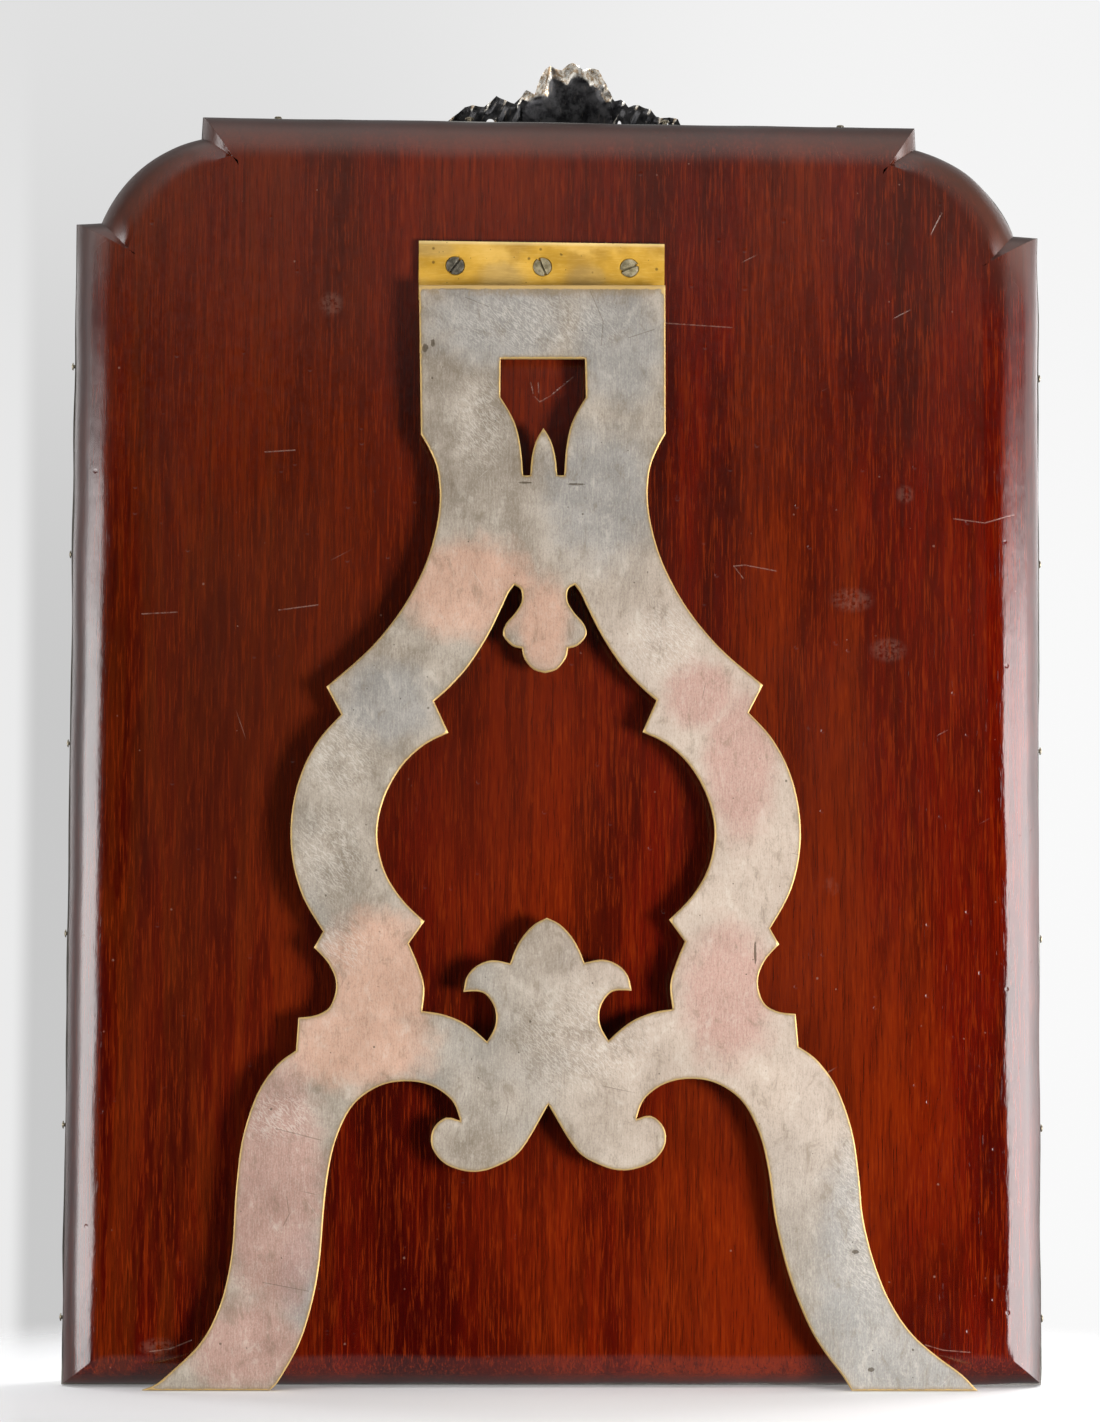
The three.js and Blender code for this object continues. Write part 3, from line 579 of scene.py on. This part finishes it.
def steel(name, dark, light):
    n = Material(name)
    clouds = n.noise((500, 500, 500), detail=4, roughness=0.7)
    colour = n.mix(n.ramp(clouds, 0.35, 0.68), dark, light)
    spots = n.specks(1500, 0.3, 0.25)
    colour = n.tinted(colour, spots, 0.6, (0.05, 0.04, 0.03))
    roughness = n.ramp(clouds, 0.3, 0.7, 0.35, 0.55)
    normal = n.bump(clouds, 0.00005, 0.5)
    return n.finish(colour, roughness, 0.8, normal)


def silver():
    n = Material("silver")
    clouds = n.noise((45, 45, 45), (2, 5, 1), detail=4, roughness=0.6)
    polish = n.noise((900, 900, 900), detail=2)
    colour = n.mix(n.ramp(clouds, 0.35, 0.70), (0.83, 0.81, 0.77), (0.92, 0.90, 0.87))
    tarnish = n.times(n.kept("hollow"), n.ramp(clouds, 0.15, 0.65, 0.5, 1.0))
    colour = n.tinted(colour, tarnish, 0.92, (0.060, 0.048, 0.036))
    roughness = n.ramp(clouds, 0.30, 0.75, 0.14, 0.27)
    roughness = n.plus(roughness, n.times(tarnish, 0.25))
    dents = n.noise((70, 70, 70), (9, 9, 9), detail=1)
    normal = n.bump(dents, 0.0005, 0.25)
    normal = n.bump(polish, 0.00002, 0.3, normal)
    return n.finish(colour, roughness, 1.0, normal)


def tarnished_silver():
    n = Material("tarnished_silver")
    clouds = n.noise((260, 260, 260), (1, 2, 3), detail=5, roughness=0.7)
    drips = n.noise((900, 900, 160), detail=3, roughness=0.6)
    bright = n.kept("rubbed")
    colour = n.mix(n.ramp(clouds, 0.32, 0.66), (0.008, 0.008, 0.009), (0.045, 0.044, 0.045))
    colour = n.tinted(colour, n.ramp(drips, 0.60, 0.80), 0.40, (0.20, 0.16, 0.12))
    shine = n.ramp(n.plus(bright, n.math("MULTIPLY_ADD", clouds, 0.7, -0.35)), 0.30, 0.62)
    colour = n.mix(shine, colour, n.mix(n.ramp(drips, 0.35, 0.60), (0.40, 0.27, 0.15), (0.92, 0.88, 0.80)))
    roughness = n.ramp(clouds, 0.3, 0.7, 0.32, 0.50)
    roughness = n.math("MULTIPLY_ADD", shine, -0.12, roughness)
    normal = n.bump(clouds, 0.00010, 0.6)
    return n.finish(colour, roughness, 0.9, normal)


def mirror_glass():
    n = Material("mirror_glass")
    age = n.noise((60, 60, 60), (1, 1, 1), detail=5, roughness=0.75)
    spots = n.times(n.specks(180, 0.22, 0.25), n.kept("border"))
    bloom = n.times(n.ramp(age, 0.55, 0.70), n.kept("border"))
    grey = n.math("MINIMUM", n.plus(spots, n.times(bloom, 0.5)), 1.0)
    colour = n.mix(n.times(grey, 0.6), (0.86, 0.89, 0.88), (0.24, 0.23, 0.20))
    roughness = n.math("MULTIPLY_ADD", grey, 0.2, 0.015)
    return n.finish(colour, roughness, 1.0)


def pine():
    n = Material("core_pine")
    rings = n.noise((150, 150, 10), detail=3, distortion=0.8)
    fibres = n.noise((1500, 1500, 40), detail=2)
    colour = n.mix(n.ramp(rings, 0.38, 0.64), (0.52, 0.33, 0.15), (0.30, 0.16, 0.06))
    colour = n.tinted(colour, n.ramp(fibres, 0.6, 0.3), 0.4, (0.22, 0.12, 0.05))
    return n.finish(colour, n.ramp(rings, 0.3, 0.7, 0.62, 0.8), 0.0, n.bump(fibres, 0.0001, 0.5))


def card():
    n = Material("backing_card")
    felt = n.noise((800, 800, 800), detail=4, roughness=0.7)
    stain = n.noise((30, 30, 30), detail=3)
    colour = n.mix(n.ramp(stain, 0.35, 0.7), (0.26, 0.20, 0.13), (0.19, 0.14, 0.085))
    colour = n.tinted(colour, n.ramp(felt, 0.4, 0.7), 0.3, (0.34, 0.27, 0.18))
    return n.finish(colour, 0.9, 0.0, n.bump(felt, 0.0001, 0.5))


MAHOGANY = mahogany()
STRUT_METAL = silvered_brass()
BRASS = brass()
DULL_STEEL = steel("steel", (0.14, 0.115, 0.08), (0.34, 0.30, 0.22))
DARK_SCREW = steel("dark_screw", (0.070, 0.062, 0.045), (0.19, 0.17, 0.13))
PALE_SCREW = steel("pale_screw", (0.20, 0.165, 0.090), (0.42, 0.36, 0.23))
SILVER = silver()
CREST_METAL = tarnished_silver()
GLASS = mirror_glass()
PINE = pine()
CARD = card()

# ---------------------------------------------------------------- wooden back board


def notch(x, z):
    """How much a place on the outline belongs to the valley carved at an inner corner."""
    nearest = min(math.hypot(x - cx, z - cz) for cx, cz in INNER_CORNERS)
    return max(0.0, 1 - nearest / NOTCH_REACH) ** 1.5


def board_rings():
    """(share of the way to the flat back, y) of each ring of the board, from its front to its flat."""
    rings = [(0.0, BOARD_LOW.y)]
    depth = BOARD_HIGH.y - SKIRT_BACK
    for i in range(ROUND_STEPS + 1):
        angle = ROUND_END * i / ROUND_STEPS
        share = (1 - math.cos(angle)) / (1 - math.cos(ROUND_END))
        rings.append((share, SKIRT_BACK + depth * math.sin(angle) / math.sin(ROUND_END)))
    return rings + [(1.07, BOARD_HIGH.y), (1.2, BOARD_HIGH.y)]


def back_board():
    """The board with its rounded edge, planed by hand, so that the rounding is a little uneven."""
    rings = board_rings()
    loops = [(between(EDGE_POINTS, BACK_POINTS, share), y) for share, y in rings]
    vertices, faces = loft(loops, False)
    count = len(EDGE_POINTS)
    outward = inset_outline(-1 * MM)
    planed = []
    wear = []
    rounding = []
    for i, (x, y, z) in enumerate(vertices):
        share = min(1.0, rings[i // count][0])
        ex, ez = EDGE_POINTS[i % count]
        uneven = 0.16 * MM * math.sin(math.pi * share) * wobble(x, z, 1.5)
        valley = VALLEY_SCALE * share ** 1.5 * math.sqrt(1 - share) * notch(ex, ez) * NOTCH_DEPTH
        if y > SKIRT_BACK + 0.1 * MM and share < 1:
            proud = (0.25 + 0.3 * wobble(ex, ez, 4.5, 0.02)) * (1 - share) ** 2
            ox, oz = outward[i % count]
            x += (ox - ex) * proud
            z += (oz - ez - BOARD_LOW.z) * proud
        planed.append((x, y + uneven - valley, z))
        wear.append(min(1, max(0, (z - WEAR_START) / WEAR_RISE)) * min(1, 0.3 + 1.1 * (1 - share)))
        rounding.append(1 - share)
    piece = add_object("back_board_looks", planed, faces, MAHOGANY, 24)
    store(piece, "corner_wear", wear)
    store(piece, "rounding", rounding)
    add_bevel(piece, 0.30 * MM, 24)
    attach(piece, "frame")
    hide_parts("back_board")
    return piece


# ---------------------------------------------------------------- silver front mount


def mount_profile():
    """(inset, y, how hollow) points across the pressing, outside first, then back along the inside."""
    out = MOUNT_LOW.x + HALF_WIDTH + 0.35 * MM
    outside = [(out, SKIRT_BACK, 1.0), (out, 7 * MM, 0.9), (out, 3 * MM, 0.2), (out, -8.2 * MM, 0.0)]
    for i in range(1, 7):
        angle = math.pi / 2 * i / 6
        inset = out + FOLD_RADIUS * (1 - math.cos(angle))
        y = -MOUNT_LAND + FOLD_RADIUS * (1 - math.sin(angle))
        outside.append((inset, y, 0.0))
    outside.append((CUSHION_START - 0.6 * MM, -MOUNT_LAND, 0.5))
    inside = [(x + MOUNT_SHEET * 0.9, y + MOUNT_SHEET * (y < -1e-4), 1.0) for x, y, _ in outside]
    steps = 22
    for i in range(steps + 1):
        share = i / steps
        inset = CUSHION_START + (BEAD_START - CUSHION_START) * share
        y = -MOUNT_LAND - CUSHION_RISE * math.sin(math.pi * share)
        outside.append((inset, y, max(0.0, 1 - 9 * min(share, 1 - share))))
        inside.append((inset, y + MOUNT_SHEET, 1.0))
    steps = 10
    for i in range(1, steps + 1):
        angle = math.pi * i / steps
        inset = BEAD_START + BEAD_RADIUS * (1 - math.cos(angle))
        y = -MOUNT_LAND - BEAD_RADIUS * math.sin(angle)
        outside.append((inset, y, 1 - min(1.0, 1.6 * math.sin(angle))))
    outside.append((SIGHT_INSET, -SIGHT_LIP, 0.7))
    inside.append((BEAD_START + 2 * BEAD_RADIUS, -MOUNT_LAND + MOUNT_SHEET, 1.0))
    inside.append((SIGHT_INSET, -SIGHT_LIP + MOUNT_SHEET, 1.0))
    return outside + inside[::-1]


def front_mount():
    """The pressed mount; the free edge of its return, beside the board, is a little wavy."""
    profile = mount_profile()
    rings = [(inset_outline(inset), y) for inset, y, _ in profile]
    vertices, faces = loft(rings, True)
    count = len(EDGE_POINTS)
    pressed = []
    for i, (x, y, z) in enumerate(vertices):
        inset, depth, _ = profile[i // count]
        if inset < 0.5 * MM and z > 3 * MM:
            free = min(1, max(0, (depth + 6 * MM) / (15 * MM)))
            y += 0.7 * MM * free * (wobble(x, z, 7.5, 0.02) - 1.0)
            x += 0.30 * MM * free * wobble(x, z, 3.5, 0.025)
        pressed.append((x, y, z))
    piece = add_object("front_mount_looks", pressed, faces, SILVER, 40)
    hollow = []
    for i, (x, _, z) in enumerate(pressed):
        rubbed = z > BOARD_HIGH.z - 1 * MM and RUBBED_TOP[0] < x < RUBBED_TOP[1]
        hollow.append(0.0 if rubbed else profile[i // count][2])
    store(piece, "hollow", hollow)
    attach(piece, "frame")
    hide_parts("front_mount")
    return piece


# ---------------------------------------------------------------- mirror


def mirror():
    inset = GLASS_LOW.x + HALF_WIDTH
    rings = [
        (inset_outline(inset + 22 * MM), GLASS_LOW.y),
        (inset_outline(inset), GLASS_LOW.y + 1.6 * MM),
        (inset_outline(inset), GLASS_HIGH.y),
    ]
    vertices, faces = loft(rings, False)
    piece = add_object("mirror_looks", vertices, faces, GLASS, 3)
    count = len(EDGE_POINTS)
    store(piece, "border", [0.0 if i < count else 1.0 for i in range(len(vertices))])
    face_out(piece)
    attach(piece, "frame")
    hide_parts("mirror_plate")
    return piece


# ---------------------------------------------------------------- flat plates with a filed edge


def cad_loops(node, y):
    """Closed outlines, as (x, z) points, that a CAD plate's edges make at one depth."""
    mesh = frame["nodes"][node].data
    grid = 1e-5

    def key(index):
        place = mesh.vertices[index].co
        return (round(place.x / grid), round(place.z / grid)) if abs(place.y - y) < 2e-5 else None

    neighbours = {}
    for edge in mesh.edges:
        a, b = (key(i) for i in edge.vertices)
        if a and b and a != b:
            neighbours.setdefault(a, set()).add(b)
            neighbours.setdefault(b, set()).add(a)
    loops = []
    while neighbours:
        start = min(neighbours)
        walked = [start]
        onward = neighbours[start]
        while onward:
            after = min(onward)
            neighbours[walked[-1]].discard(after)
            neighbours[after].discard(walked[-1])
            walked.append(after)
            onward = neighbours[after]
        loops.append([(x * grid, z * grid) for x, z in walked[:-1]])
        neighbours = {k: v for k, v in neighbours.items() if v}
    return loops


def smoothed(loop, corner_deg=27):
    """The closed outline with smooth curves between its sharp corners, in steps of about OUTLINE_STEP."""
    points = [Vector(p) for p in loop]
    count = len(points)

    def is_corner(i):
        before, here, after = points[i - 1], points[i], points[(i + 1) % count]
        return (here - before).angle(after - here) > math.radians(corner_deg)

    corners = [is_corner(i) for i in range(count)]
    made = []
    for i in range(count):
        p1, p2 = points[i], points[(i + 1) % count]
        p0 = p1 * 2 - p2 if corners[i] else points[i - 1]
        p3 = p2 * 2 - p1 if corners[(i + 1) % count] else points[(i + 2) % count]
        steps = max(1, round((p2 - p1).length / OUTLINE_STEP))
        for s in range(steps):
            t = s / steps
            made.append(
                0.5 * (2 * p1 + (p2 - p0) * t + (2 * p0 - 5 * p1 + 4 * p2 - p3) * t * t
                       + (3 * p1 - p0 - 3 * p2 + p3) * t * t * t)
            )
    return made


def edge_distance(points, loops):
    """How far each point is from the nearest outline."""
    points = np.array([tuple(p) for p in points])
    nearest = np.full(len(points), 1e9)
    for loop in loops:
        a = np.array([tuple(p) for p in loop])
        b = np.roll(a, -1, axis=0)
        for start in range(0, len(points), 400):
            p = points[start:start + 400, None]
            along = ((p - a) * (b - a)).sum(-1) / np.maximum(((b - a) ** 2).sum(-1), 1e-16)
            foot = a + np.clip(along, 0, 1)[..., None] * (b - a)
            distance = np.sqrt(((p - foot) ** 2).sum(-1)).min(1)
            nearest[start:start + 400] = np.minimum(nearest[start:start + 400], distance)
    return nearest


def is_inside(points, loops):
    points = np.array([tuple(p) for p in points])
    inside = np.zeros(len(points), bool)
    for loop in loops:
        a = np.array([tuple(p) for p in loop])
        b = np.roll(a, -1, axis=0)
        x, z = points[:, 0, None], points[:, 1, None]
        crosses = (a[:, 1] > z) != (b[:, 1] > z)
        rise = np.where(b[:, 1] == a[:, 1], 1e-12, b[:, 1] - a[:, 1])
        at = a[:, 0] + (z - a[:, 1]) * (b[:, 0] - a[:, 0]) / rise
        inside ^= (crosses & (x < at)).sum(1) % 2 == 1
    return inside


def sheet_mesh(loops, ring_depths, spacing):
    """Points and triangles that fill outlines, but not their holes.

    Rows of points follow the edges at the given depths, and a grid fills the rest."""
    border = []
    edges = []
    rows = []
    for loop in loops:
        start = len(border)
        count = len(loop)
        for i, p in enumerate(loop):
            border.append(p)
            edges.append((start + i, start + (i + 1) % count))
            tangent = (loop[(i + 1) % count] - loop[i - 1]).normalized()
            side = Vector((-tangent.y, tangent.x))
            for depth in ring_depths:
                wave = 1 + 0.25 * noise.noise(Vector((p.x, p.y, 0)) * 90)
                for way in (side, -side):
                    rows.append((p + way * depth * wave, depth * wave))
    places = [p for p, _ in rows]
    keep = is_inside(places, loops) & (edge_distance(places, loops) > 0.93 * np.array([d for _, d in rows]))
    extra = [p for p, ok in zip(places, keep) if ok]
    low = [min(p[k] for p in border) for k in (0, 1)]
    high = [max(p[k] for p in border) for k in (0, 1)]
    grid = []
    row = 0
    z = low[1]
    while z < high[1]:
        x = low[0] + (row % 2) * spacing / 2
        while x < high[0]:
            grid.append(Vector((x, z)))
            x += spacing
        z += spacing * 0.866
        row += 1
    margin = ring_depths[-1] * 1.3 + spacing * 0.3
    keep = is_inside(grid, loops) & (edge_distance(grid, loops) > margin)
    extra += [p for p, ok in zip(grid, keep) if ok]
    result = geometry.delaunay_2d_cdt(border + extra, edges, [], 0, 1e-7)
    points, triangles = result[0], result[2]
    middles = [(points[a] + points[b] + points[c]) / 3 for a, b, c in triangles]
    keep = is_inside(middles, loops)
    return points, [t for t, ok in zip(triangles, keep) if ok]


def plate_piece(name, loops, low_y, high_y, chamfer, material, ring_depths, spacing, shape=None):
    """A closed plate between two depths, with a filed edge.

    shape(x, z, distance), if given, tells how far its two faces move."""
    points, triangles = sheet_mesh(loops, ring_depths, spacing)
    distance = edge_distance(points, loops)
    count = len(points)
    drop = chamfer * np.clip(1 - distance / (ring_depths[0] * 0.9), 0, 1)
    high = [high_y - d for d in drop]
    low = [low_y + d for d in drop]
    if shape:
        moves = [shape(p.x, p.y, d) for p, d in zip(points, distance)]
        high = [y + m[0] for y, m in zip(high, moves)]
        low = [y + m[1] for y, m in zip(low, moves)]
    vertices = [(p.x, y, p.y) for p, y in zip(points, high)]
    vertices += [(p.x, y, p.y) for p, y in zip(points, low)]
    faces = []
    seen = {}
    for a, b, c in triangles:
        faces.append((a, b, c))
        faces.append((a + count, c + count, b + count))
        for edge in ((a, b), (b, c), (c, a)):
            seen[edge] = True
    for a, b in list(seen):
        if (b, a) not in seen:
            faces.append((b, a, a + count, b + count))
    piece = add_object(name, vertices, faces, material, 38)
    face_out(piece)
    return piece


def strut():
    loops = [smoothed(loop) for loop in cad_loops("strut", STRUT_HIGH.y - CHAMFER)]
    piece = plate_piece(
        "strut_looks", loops, STRUT_LOW.y, STRUT_HIGH.y, WORN_CHAMFER, STRUT_METAL,
        (0.42 * MM, 1.0 * MM, 2.0 * MM), 4 * MM,
    )
    places = np.array([v.co for v in piece.data.vertices])
    reach = edge_distance(places[:, [0, 2]], loops)
    rim = np.clip(1.10 - (reach - 0.15 * MM) / (1.2 * MM), 0, 1)
    near_top = places[:, 2] > STRUT_HIGH.z - 3 * MM
    top = np.where(near_top, np.clip(1.5 - reach / (2.2 * MM), 0, 1), 0)
    store(piece, "rim", np.maximum(rim, top))
    piece.data.shade_smooth()
    piece.data.set_sharp_from_angle(angle=math.radians(38))
    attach(piece, "strut")
    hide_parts("strut")
    return piece


# ---------------------------------------------------------------- crest

# Silhouette of the crest as (across, above its foot) in millimetres: peaks and valleys of its shell
# and leaves.
CREST_LEFT = [
    (45.5, 0), (44.2, 1.6), (40.0, 5.0), (37.6, 7.3), (35, 7.9), (30.4, 7.5), (27.8, 9.6),
    (26.0, 11.6), (22.4, 9.8), (19.4, 8.9), (17.1, 11), (15.2, 13.2), (13.4, 12.7), (11.9, 12.2),
    (11.0, 15.2), (9.8, 18.2), (8.0, 21.2), (6.2, 22.8), (4.2, 21.6), (2.1, 20.7),
]
CREST_RIGHT = [
    (-0.2, 22.7), (-1.9, 23.5), (-4.0, 22.9), (-5.8, 21.3), (-7.2, 21.6), (-8.6, 21.7),
    (-11.4, 20.7), (-13.2, 18.2), (-14.6, 16.0), (-15.1, 13.6), (-17.6, 10.4), (-19.9, 11.0),
    (-21.4, 9.8), (-22.8, 8.2), (-24.6, 8.9), (-26.5, 8.9), (-30.9, 7.3), (-33.1, 4.9),
    (-35.1, 4.2), (-37.9, 4.7), (-41.1, 3.9), (-42.3, 1.5), (-42.3, 0),
]
CREST_ARCHES = [(-36.5, 2.6), (-19.5, 1.6), (28.2, 3.4)]  # where its foot lets light through, and how wide
SHELL_RADIUS = 16.5
FLUTES = 15
CREST_BACK = -4.2 * MM
CREST_SHEET = 1.6 * MM


def crest_outline(centre, foot):
    points = CREST_LEFT + CREST_RIGHT
    outline = [Vector((centre + x * MM, foot + z * MM)) for x, z in points]
    for across, wide in CREST_ARCHES:
        for i in range(9):
            angle = math.pi * (1 - i / 8)
            x = centre + (across + wide / 2 * math.cos(angle)) * MM
            outline.append(Vector((x, foot + 3.2 * MM * math.sin(angle) ** 0.6)))
    return outline


def crest_surface(x, z, distance, centre, foot):
    """(depth of the back, depth of the front, how rubbed) of the cast crest at a point of its silhouette."""
    across = (x - centre) / MM
    up = (z - foot) / MM
    reach = math.hypot(across, up * 0.78)
    edge = distance / MM
    flutes = math.cos(math.atan2(across, up + 3) * FLUTES)
    if abs(across) < SHELL_RADIUS:
        fold = min(1.0, reach / SHELL_RADIUS)
        lip = max(0.0, 1 - edge / 5.5) * max(0.0, min(1, (up - 9) / 4))
        hollow = -2.6 * (1 - fold * fold) + 0.16 * flutes * fold + (4.2 + 1.4 * flutes) * lip * lip
        rubbed = min(1.0, 1.5 * lip) * (0.70 + 0.30 * flutes)
        rubbed += 0.30 * max(0.0, flutes) ** 6 * fold * min(1, up / 12)
    else:
        veins = math.cos(across * 1.15 + up * 0.55)
        curl = max(0.0, 1 - edge / 2.2)
        hollow = 0.55 * veins + 1.6 * curl * curl - 0.6
        rubbed = min(1.0, 0.50 * curl + 0.34) * max(0.0, veins) ** 3
    back = hollow * MM
    return back, back * 0.75, rubbed


def crest():
    centre = (CREST_LOW.x + CREST_HIGH.x) / 2
    foot = CREST_LOW.z
    outline = crest_outline(centre, foot)
    dense = []
    for i, p in enumerate(outline):
        q = outline[(i + 1) % len(outline)]
        steps = max(1, round((q - p).length / (0.7 * MM)))
        dense += [p.lerp(q, s / steps) for s in range(steps)]

    def shape(x, z, distance):
        return crest_surface(x, z, distance, centre, foot)[:2]

    piece = plate_piece(
        "crest_looks", [dense], CREST_BACK - CREST_SHEET, CREST_BACK, 0.4 * MM, CREST_METAL,
        (0.5 * MM, 1.1 * MM), 0.8 * MM, shape,
    )
    places = np.array([v.co for v in piece.data.vertices])
    reach = edge_distance(places[:, [0, 2]], [dense])
    rubbed = []
    for (x, y, z), distance in zip(places, reach):
        hollow, _, shine = crest_surface(x, z, distance, centre, foot)
        polished = y < CREST_BACK + hollow - CREST_SHEET / 2
        rubbed.append(max(shine, 0.85) if polished else shine)
    store(piece, "rubbed", rubbed)
    piece.data.shade_smooth()
    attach(piece, "frame")
    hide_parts("crest")
    return piece


# ---------------------------------------------------------------- CAD pieces that stay


def refine(names, material, bevel=0.15 * MM, angle=30):
    """Gives CAD nodes their material, softened edges and smooth round faces."""
    for name in names:
        node = frame["nodes"][name]
        node.data.materials.clear()
        node.data.materials.append(material)
        node.data.shade_smooth()
        weld = node.modifiers.new("weld", "WELD")
        weld.merge_threshold = 1e-6
        add_bevel(node, bevel, angle)
        weighted = node.modifiers.new("weighted", "WEIGHTED_NORMAL")
        weighted.weight = 90


def node_names(*starts):
    return sorted(n for n in frame["nodes"] if n.startswith(starts))


# ---------------------------------------------------------------- stage, lights and camera

LENS_MM = 106.15
CAMERA_PLACE = (0.0774, 1.5218, 0.1389)
CAMERA_TURN_DEG = (93.902, -0.294, 177.153)
FLOOR_RADIUS = 0.6
FLOOR_FADE = (0.17, 0.36)  # distances from the middle between which the table top fades away

def camera():
    data = bpy.data.cameras.new("camera")
    data.sensor_width = 36
    data.lens = LENS_MM
    data.clip_start = 0.01
    made = bpy.data.objects.new("camera", data)
    scene.collection.objects.link(made)
    made.location = CAMERA_PLACE
    made.rotation_euler = [math.radians(turn) for turn in CAMERA_TURN_DEG]
    scene.camera = made


def softbox(name, place, aim, wide, high, watts, colour=(1, 1, 1)):
    data = bpy.data.lights.new(name, "AREA")
    data.shape = "RECTANGLE"
    data.size = wide
    data.size_y = high
    data.energy = watts
    data.color = colour
    lamp = bpy.data.objects.new(name, data)
    scene.collection.objects.link(lamp)
    lamp.location = place
    lamp.rotation_euler = (Vector(aim) - Vector(place)).to_track_quat("-Z", "Y").to_euler()
    lamp.visible_camera = False
    return lamp


def floor():
    """A pale table top that fades into the backdrop around the object; it is painted darker towards +X as
    shade and glows faintly to look lit.
    """
    rings = 12
    sides = 96
    vertices = [(0, 0, 0)]
    faces = []
    for ring in range(1, rings + 1):
        for side in range(sides):
            angle = 2 * math.pi * side / sides
            reach = FLOOR_RADIUS * ring / rings
            vertices.append((reach * math.cos(angle), reach * math.sin(angle), 0))
            a = 1 + (ring - 1) * sides + side
            b = 1 + (ring - 1) * sides + (side + 1) % sides
            faces.append((0, a, b) if ring == 1 else (a - sides, a, b, b - sides))
    n = Material("table_top")
    cover = n.ramp(n.vector("LENGTH", n.place), *FLOOR_FADE, 1.0, 0.0)
    n.link(cover, n.shader.inputs["Alpha"])
    # painted shade: the table top is darker towards +X, on the object's shadow side
    colour = n.mix(n.ramp(n.along("X"), 0.16, -0.02), (0.78, 0.78, 0.79), (0.97, 0.97, 0.97))
    # painted light: a faint glow makes the table top look more brightly lit
    glow = {"Emission_Color": (1, 1, 1, 1), "Emission_Strength": 0.10}
    n.finish(colour, 0.85, Specular_IOR_Level=0.1, **glow)
    piece = add_object("table_top", vertices, faces, n.material)
    piece.visible_shadow = False
    piece.visible_glossy = False


def world():
    """Pale paper as the camera sees it, with a painted shadow beside the object's +X edge, and a dim room
    with a bright ceiling for all other light.
    """
    made = bpy.data.worlds.new("studio")
    scene.world = made
    made.use_nodes = True
    tree = made.node_tree
    n = Nodes(tree)
    background = tree.nodes["Background"]
    way = tree.nodes.new("ShaderNodeSeparateXYZ")
    n.link(tree.nodes.new("ShaderNodeTexCoord").outputs["Generated"], way.inputs[0])
    x, y, z = way.outputs

    # painted shadow: the paper darkens towards +X, darkest in a band just beside the object and brighter
    # again past it, and less so high up
    shaded_side = n.ramp(x, -0.17, 0.08)
    high = n.ramp(z, 0.06, 0.24)
    low_tone = n.ramp(shaded_side, 0, 1, 0.95, 0.58)
    high_tone = n.ramp(shaded_side, 0, 1, 0.90, 0.75)
    low_tone = n.plus(low_tone, n.ramp(x, 0.072, 0.078, 0.0, 0.25))
    low_part = n.times(low_tone, n.math("SUBTRACT", 1.0, high))
    paper = n.plus(low_part, n.times(high_tone, high))

    ceiling = n.plus(n.ramp(z, 0.12, 0.21, 0.0, 0.22), n.ramp(z, 0.20, 0.80, 0.0, 0.95))
    ceiling = n.times(ceiling, n.ramp(n.math("ABSOLUTE", x), 0.20, 0.55, 1.0, 0.25))
    front = n.times(n.ramp(y, -0.35, -0.85, 0.0, 0.75), n.ramp(x, 0.05, -0.40, 0.22, 1.0))
    table = n.ramp(z, -0.14, -0.50, 0.0, 0.28)
    room = n.plus(n.larger(n.larger(ceiling, table), front), 0.008)

    seen = tree.nodes.new("ShaderNodeLightPath").outputs["Is Camera Ray"]
    unseen = n.times(room, n.math("SUBTRACT", 1.0, seen))
    value = n.plus(n.times(paper, seen), unseen)
    join = tree.nodes.new("ShaderNodeCombineColor")
    for i in range(3):
        n.link(value, join.inputs[i])
    n.link(join.outputs[0], background.inputs["Color"])
    background.inputs["Strength"].default_value = 1.0


def lights():
    """White panels on both sides of the back leave a dark gap between them.

    The key light throws the strut's shadow; the polish mirrors right_panel instead of it."""
    panel = softbox("right_panel", (-1.06, 0.74, 0.05), (0, 0, 0.05), 1.34, 0.76, 32)
    panel.visible_diffuse = False
    softbox("right_wrap", (-1.32, -0.22, 0.05), (0, 0, 0.05), 0.80, 0.76, 13)
    key = softbox("key", (-0.88, 0.97, -0.02), (0, 0, 0.20), 0.42, 0.42, 46)
    key.visible_glossy = False
    softbox("left_panel", (1.20, 0.72, 0.17), (0.16, 0, 0.17), 0.95, 0.60, 17.5)
    softbox("front_left", (-1.2, -1.1, 0.9), (0, 0, 0.2), 0.9, 0.9, 22)
    softbox("front_right", (1.3, -1.0, 0.6), (0, 0, 0.2), 0.5, 1.2, 12)


# ---------------------------------------------------------------- assembly

scene.view_settings.view_transform = "Standard"
camera()
world()
lights()
floor()

back_board()
front_mount()
mirror()
strut()
crest()
refine(["hinge_leaf", "strut_leaf"], BRASS, 0.2 * MM)
refine(["hinge_screw_left"], DARK_SCREW, 0.1 * MM, 40)
refine(["hinge_screw_middle", "hinge_screw_right"], PALE_SCREW, 0.1 * MM, 40)
refine(node_names("hinge_pin", "crest_pin", "mount_nail"), DULL_STEEL, 0.05 * MM, 40)
refine(node_names("core_", "glazing_"), PINE)
refine(["mirror_backing"], CARD)
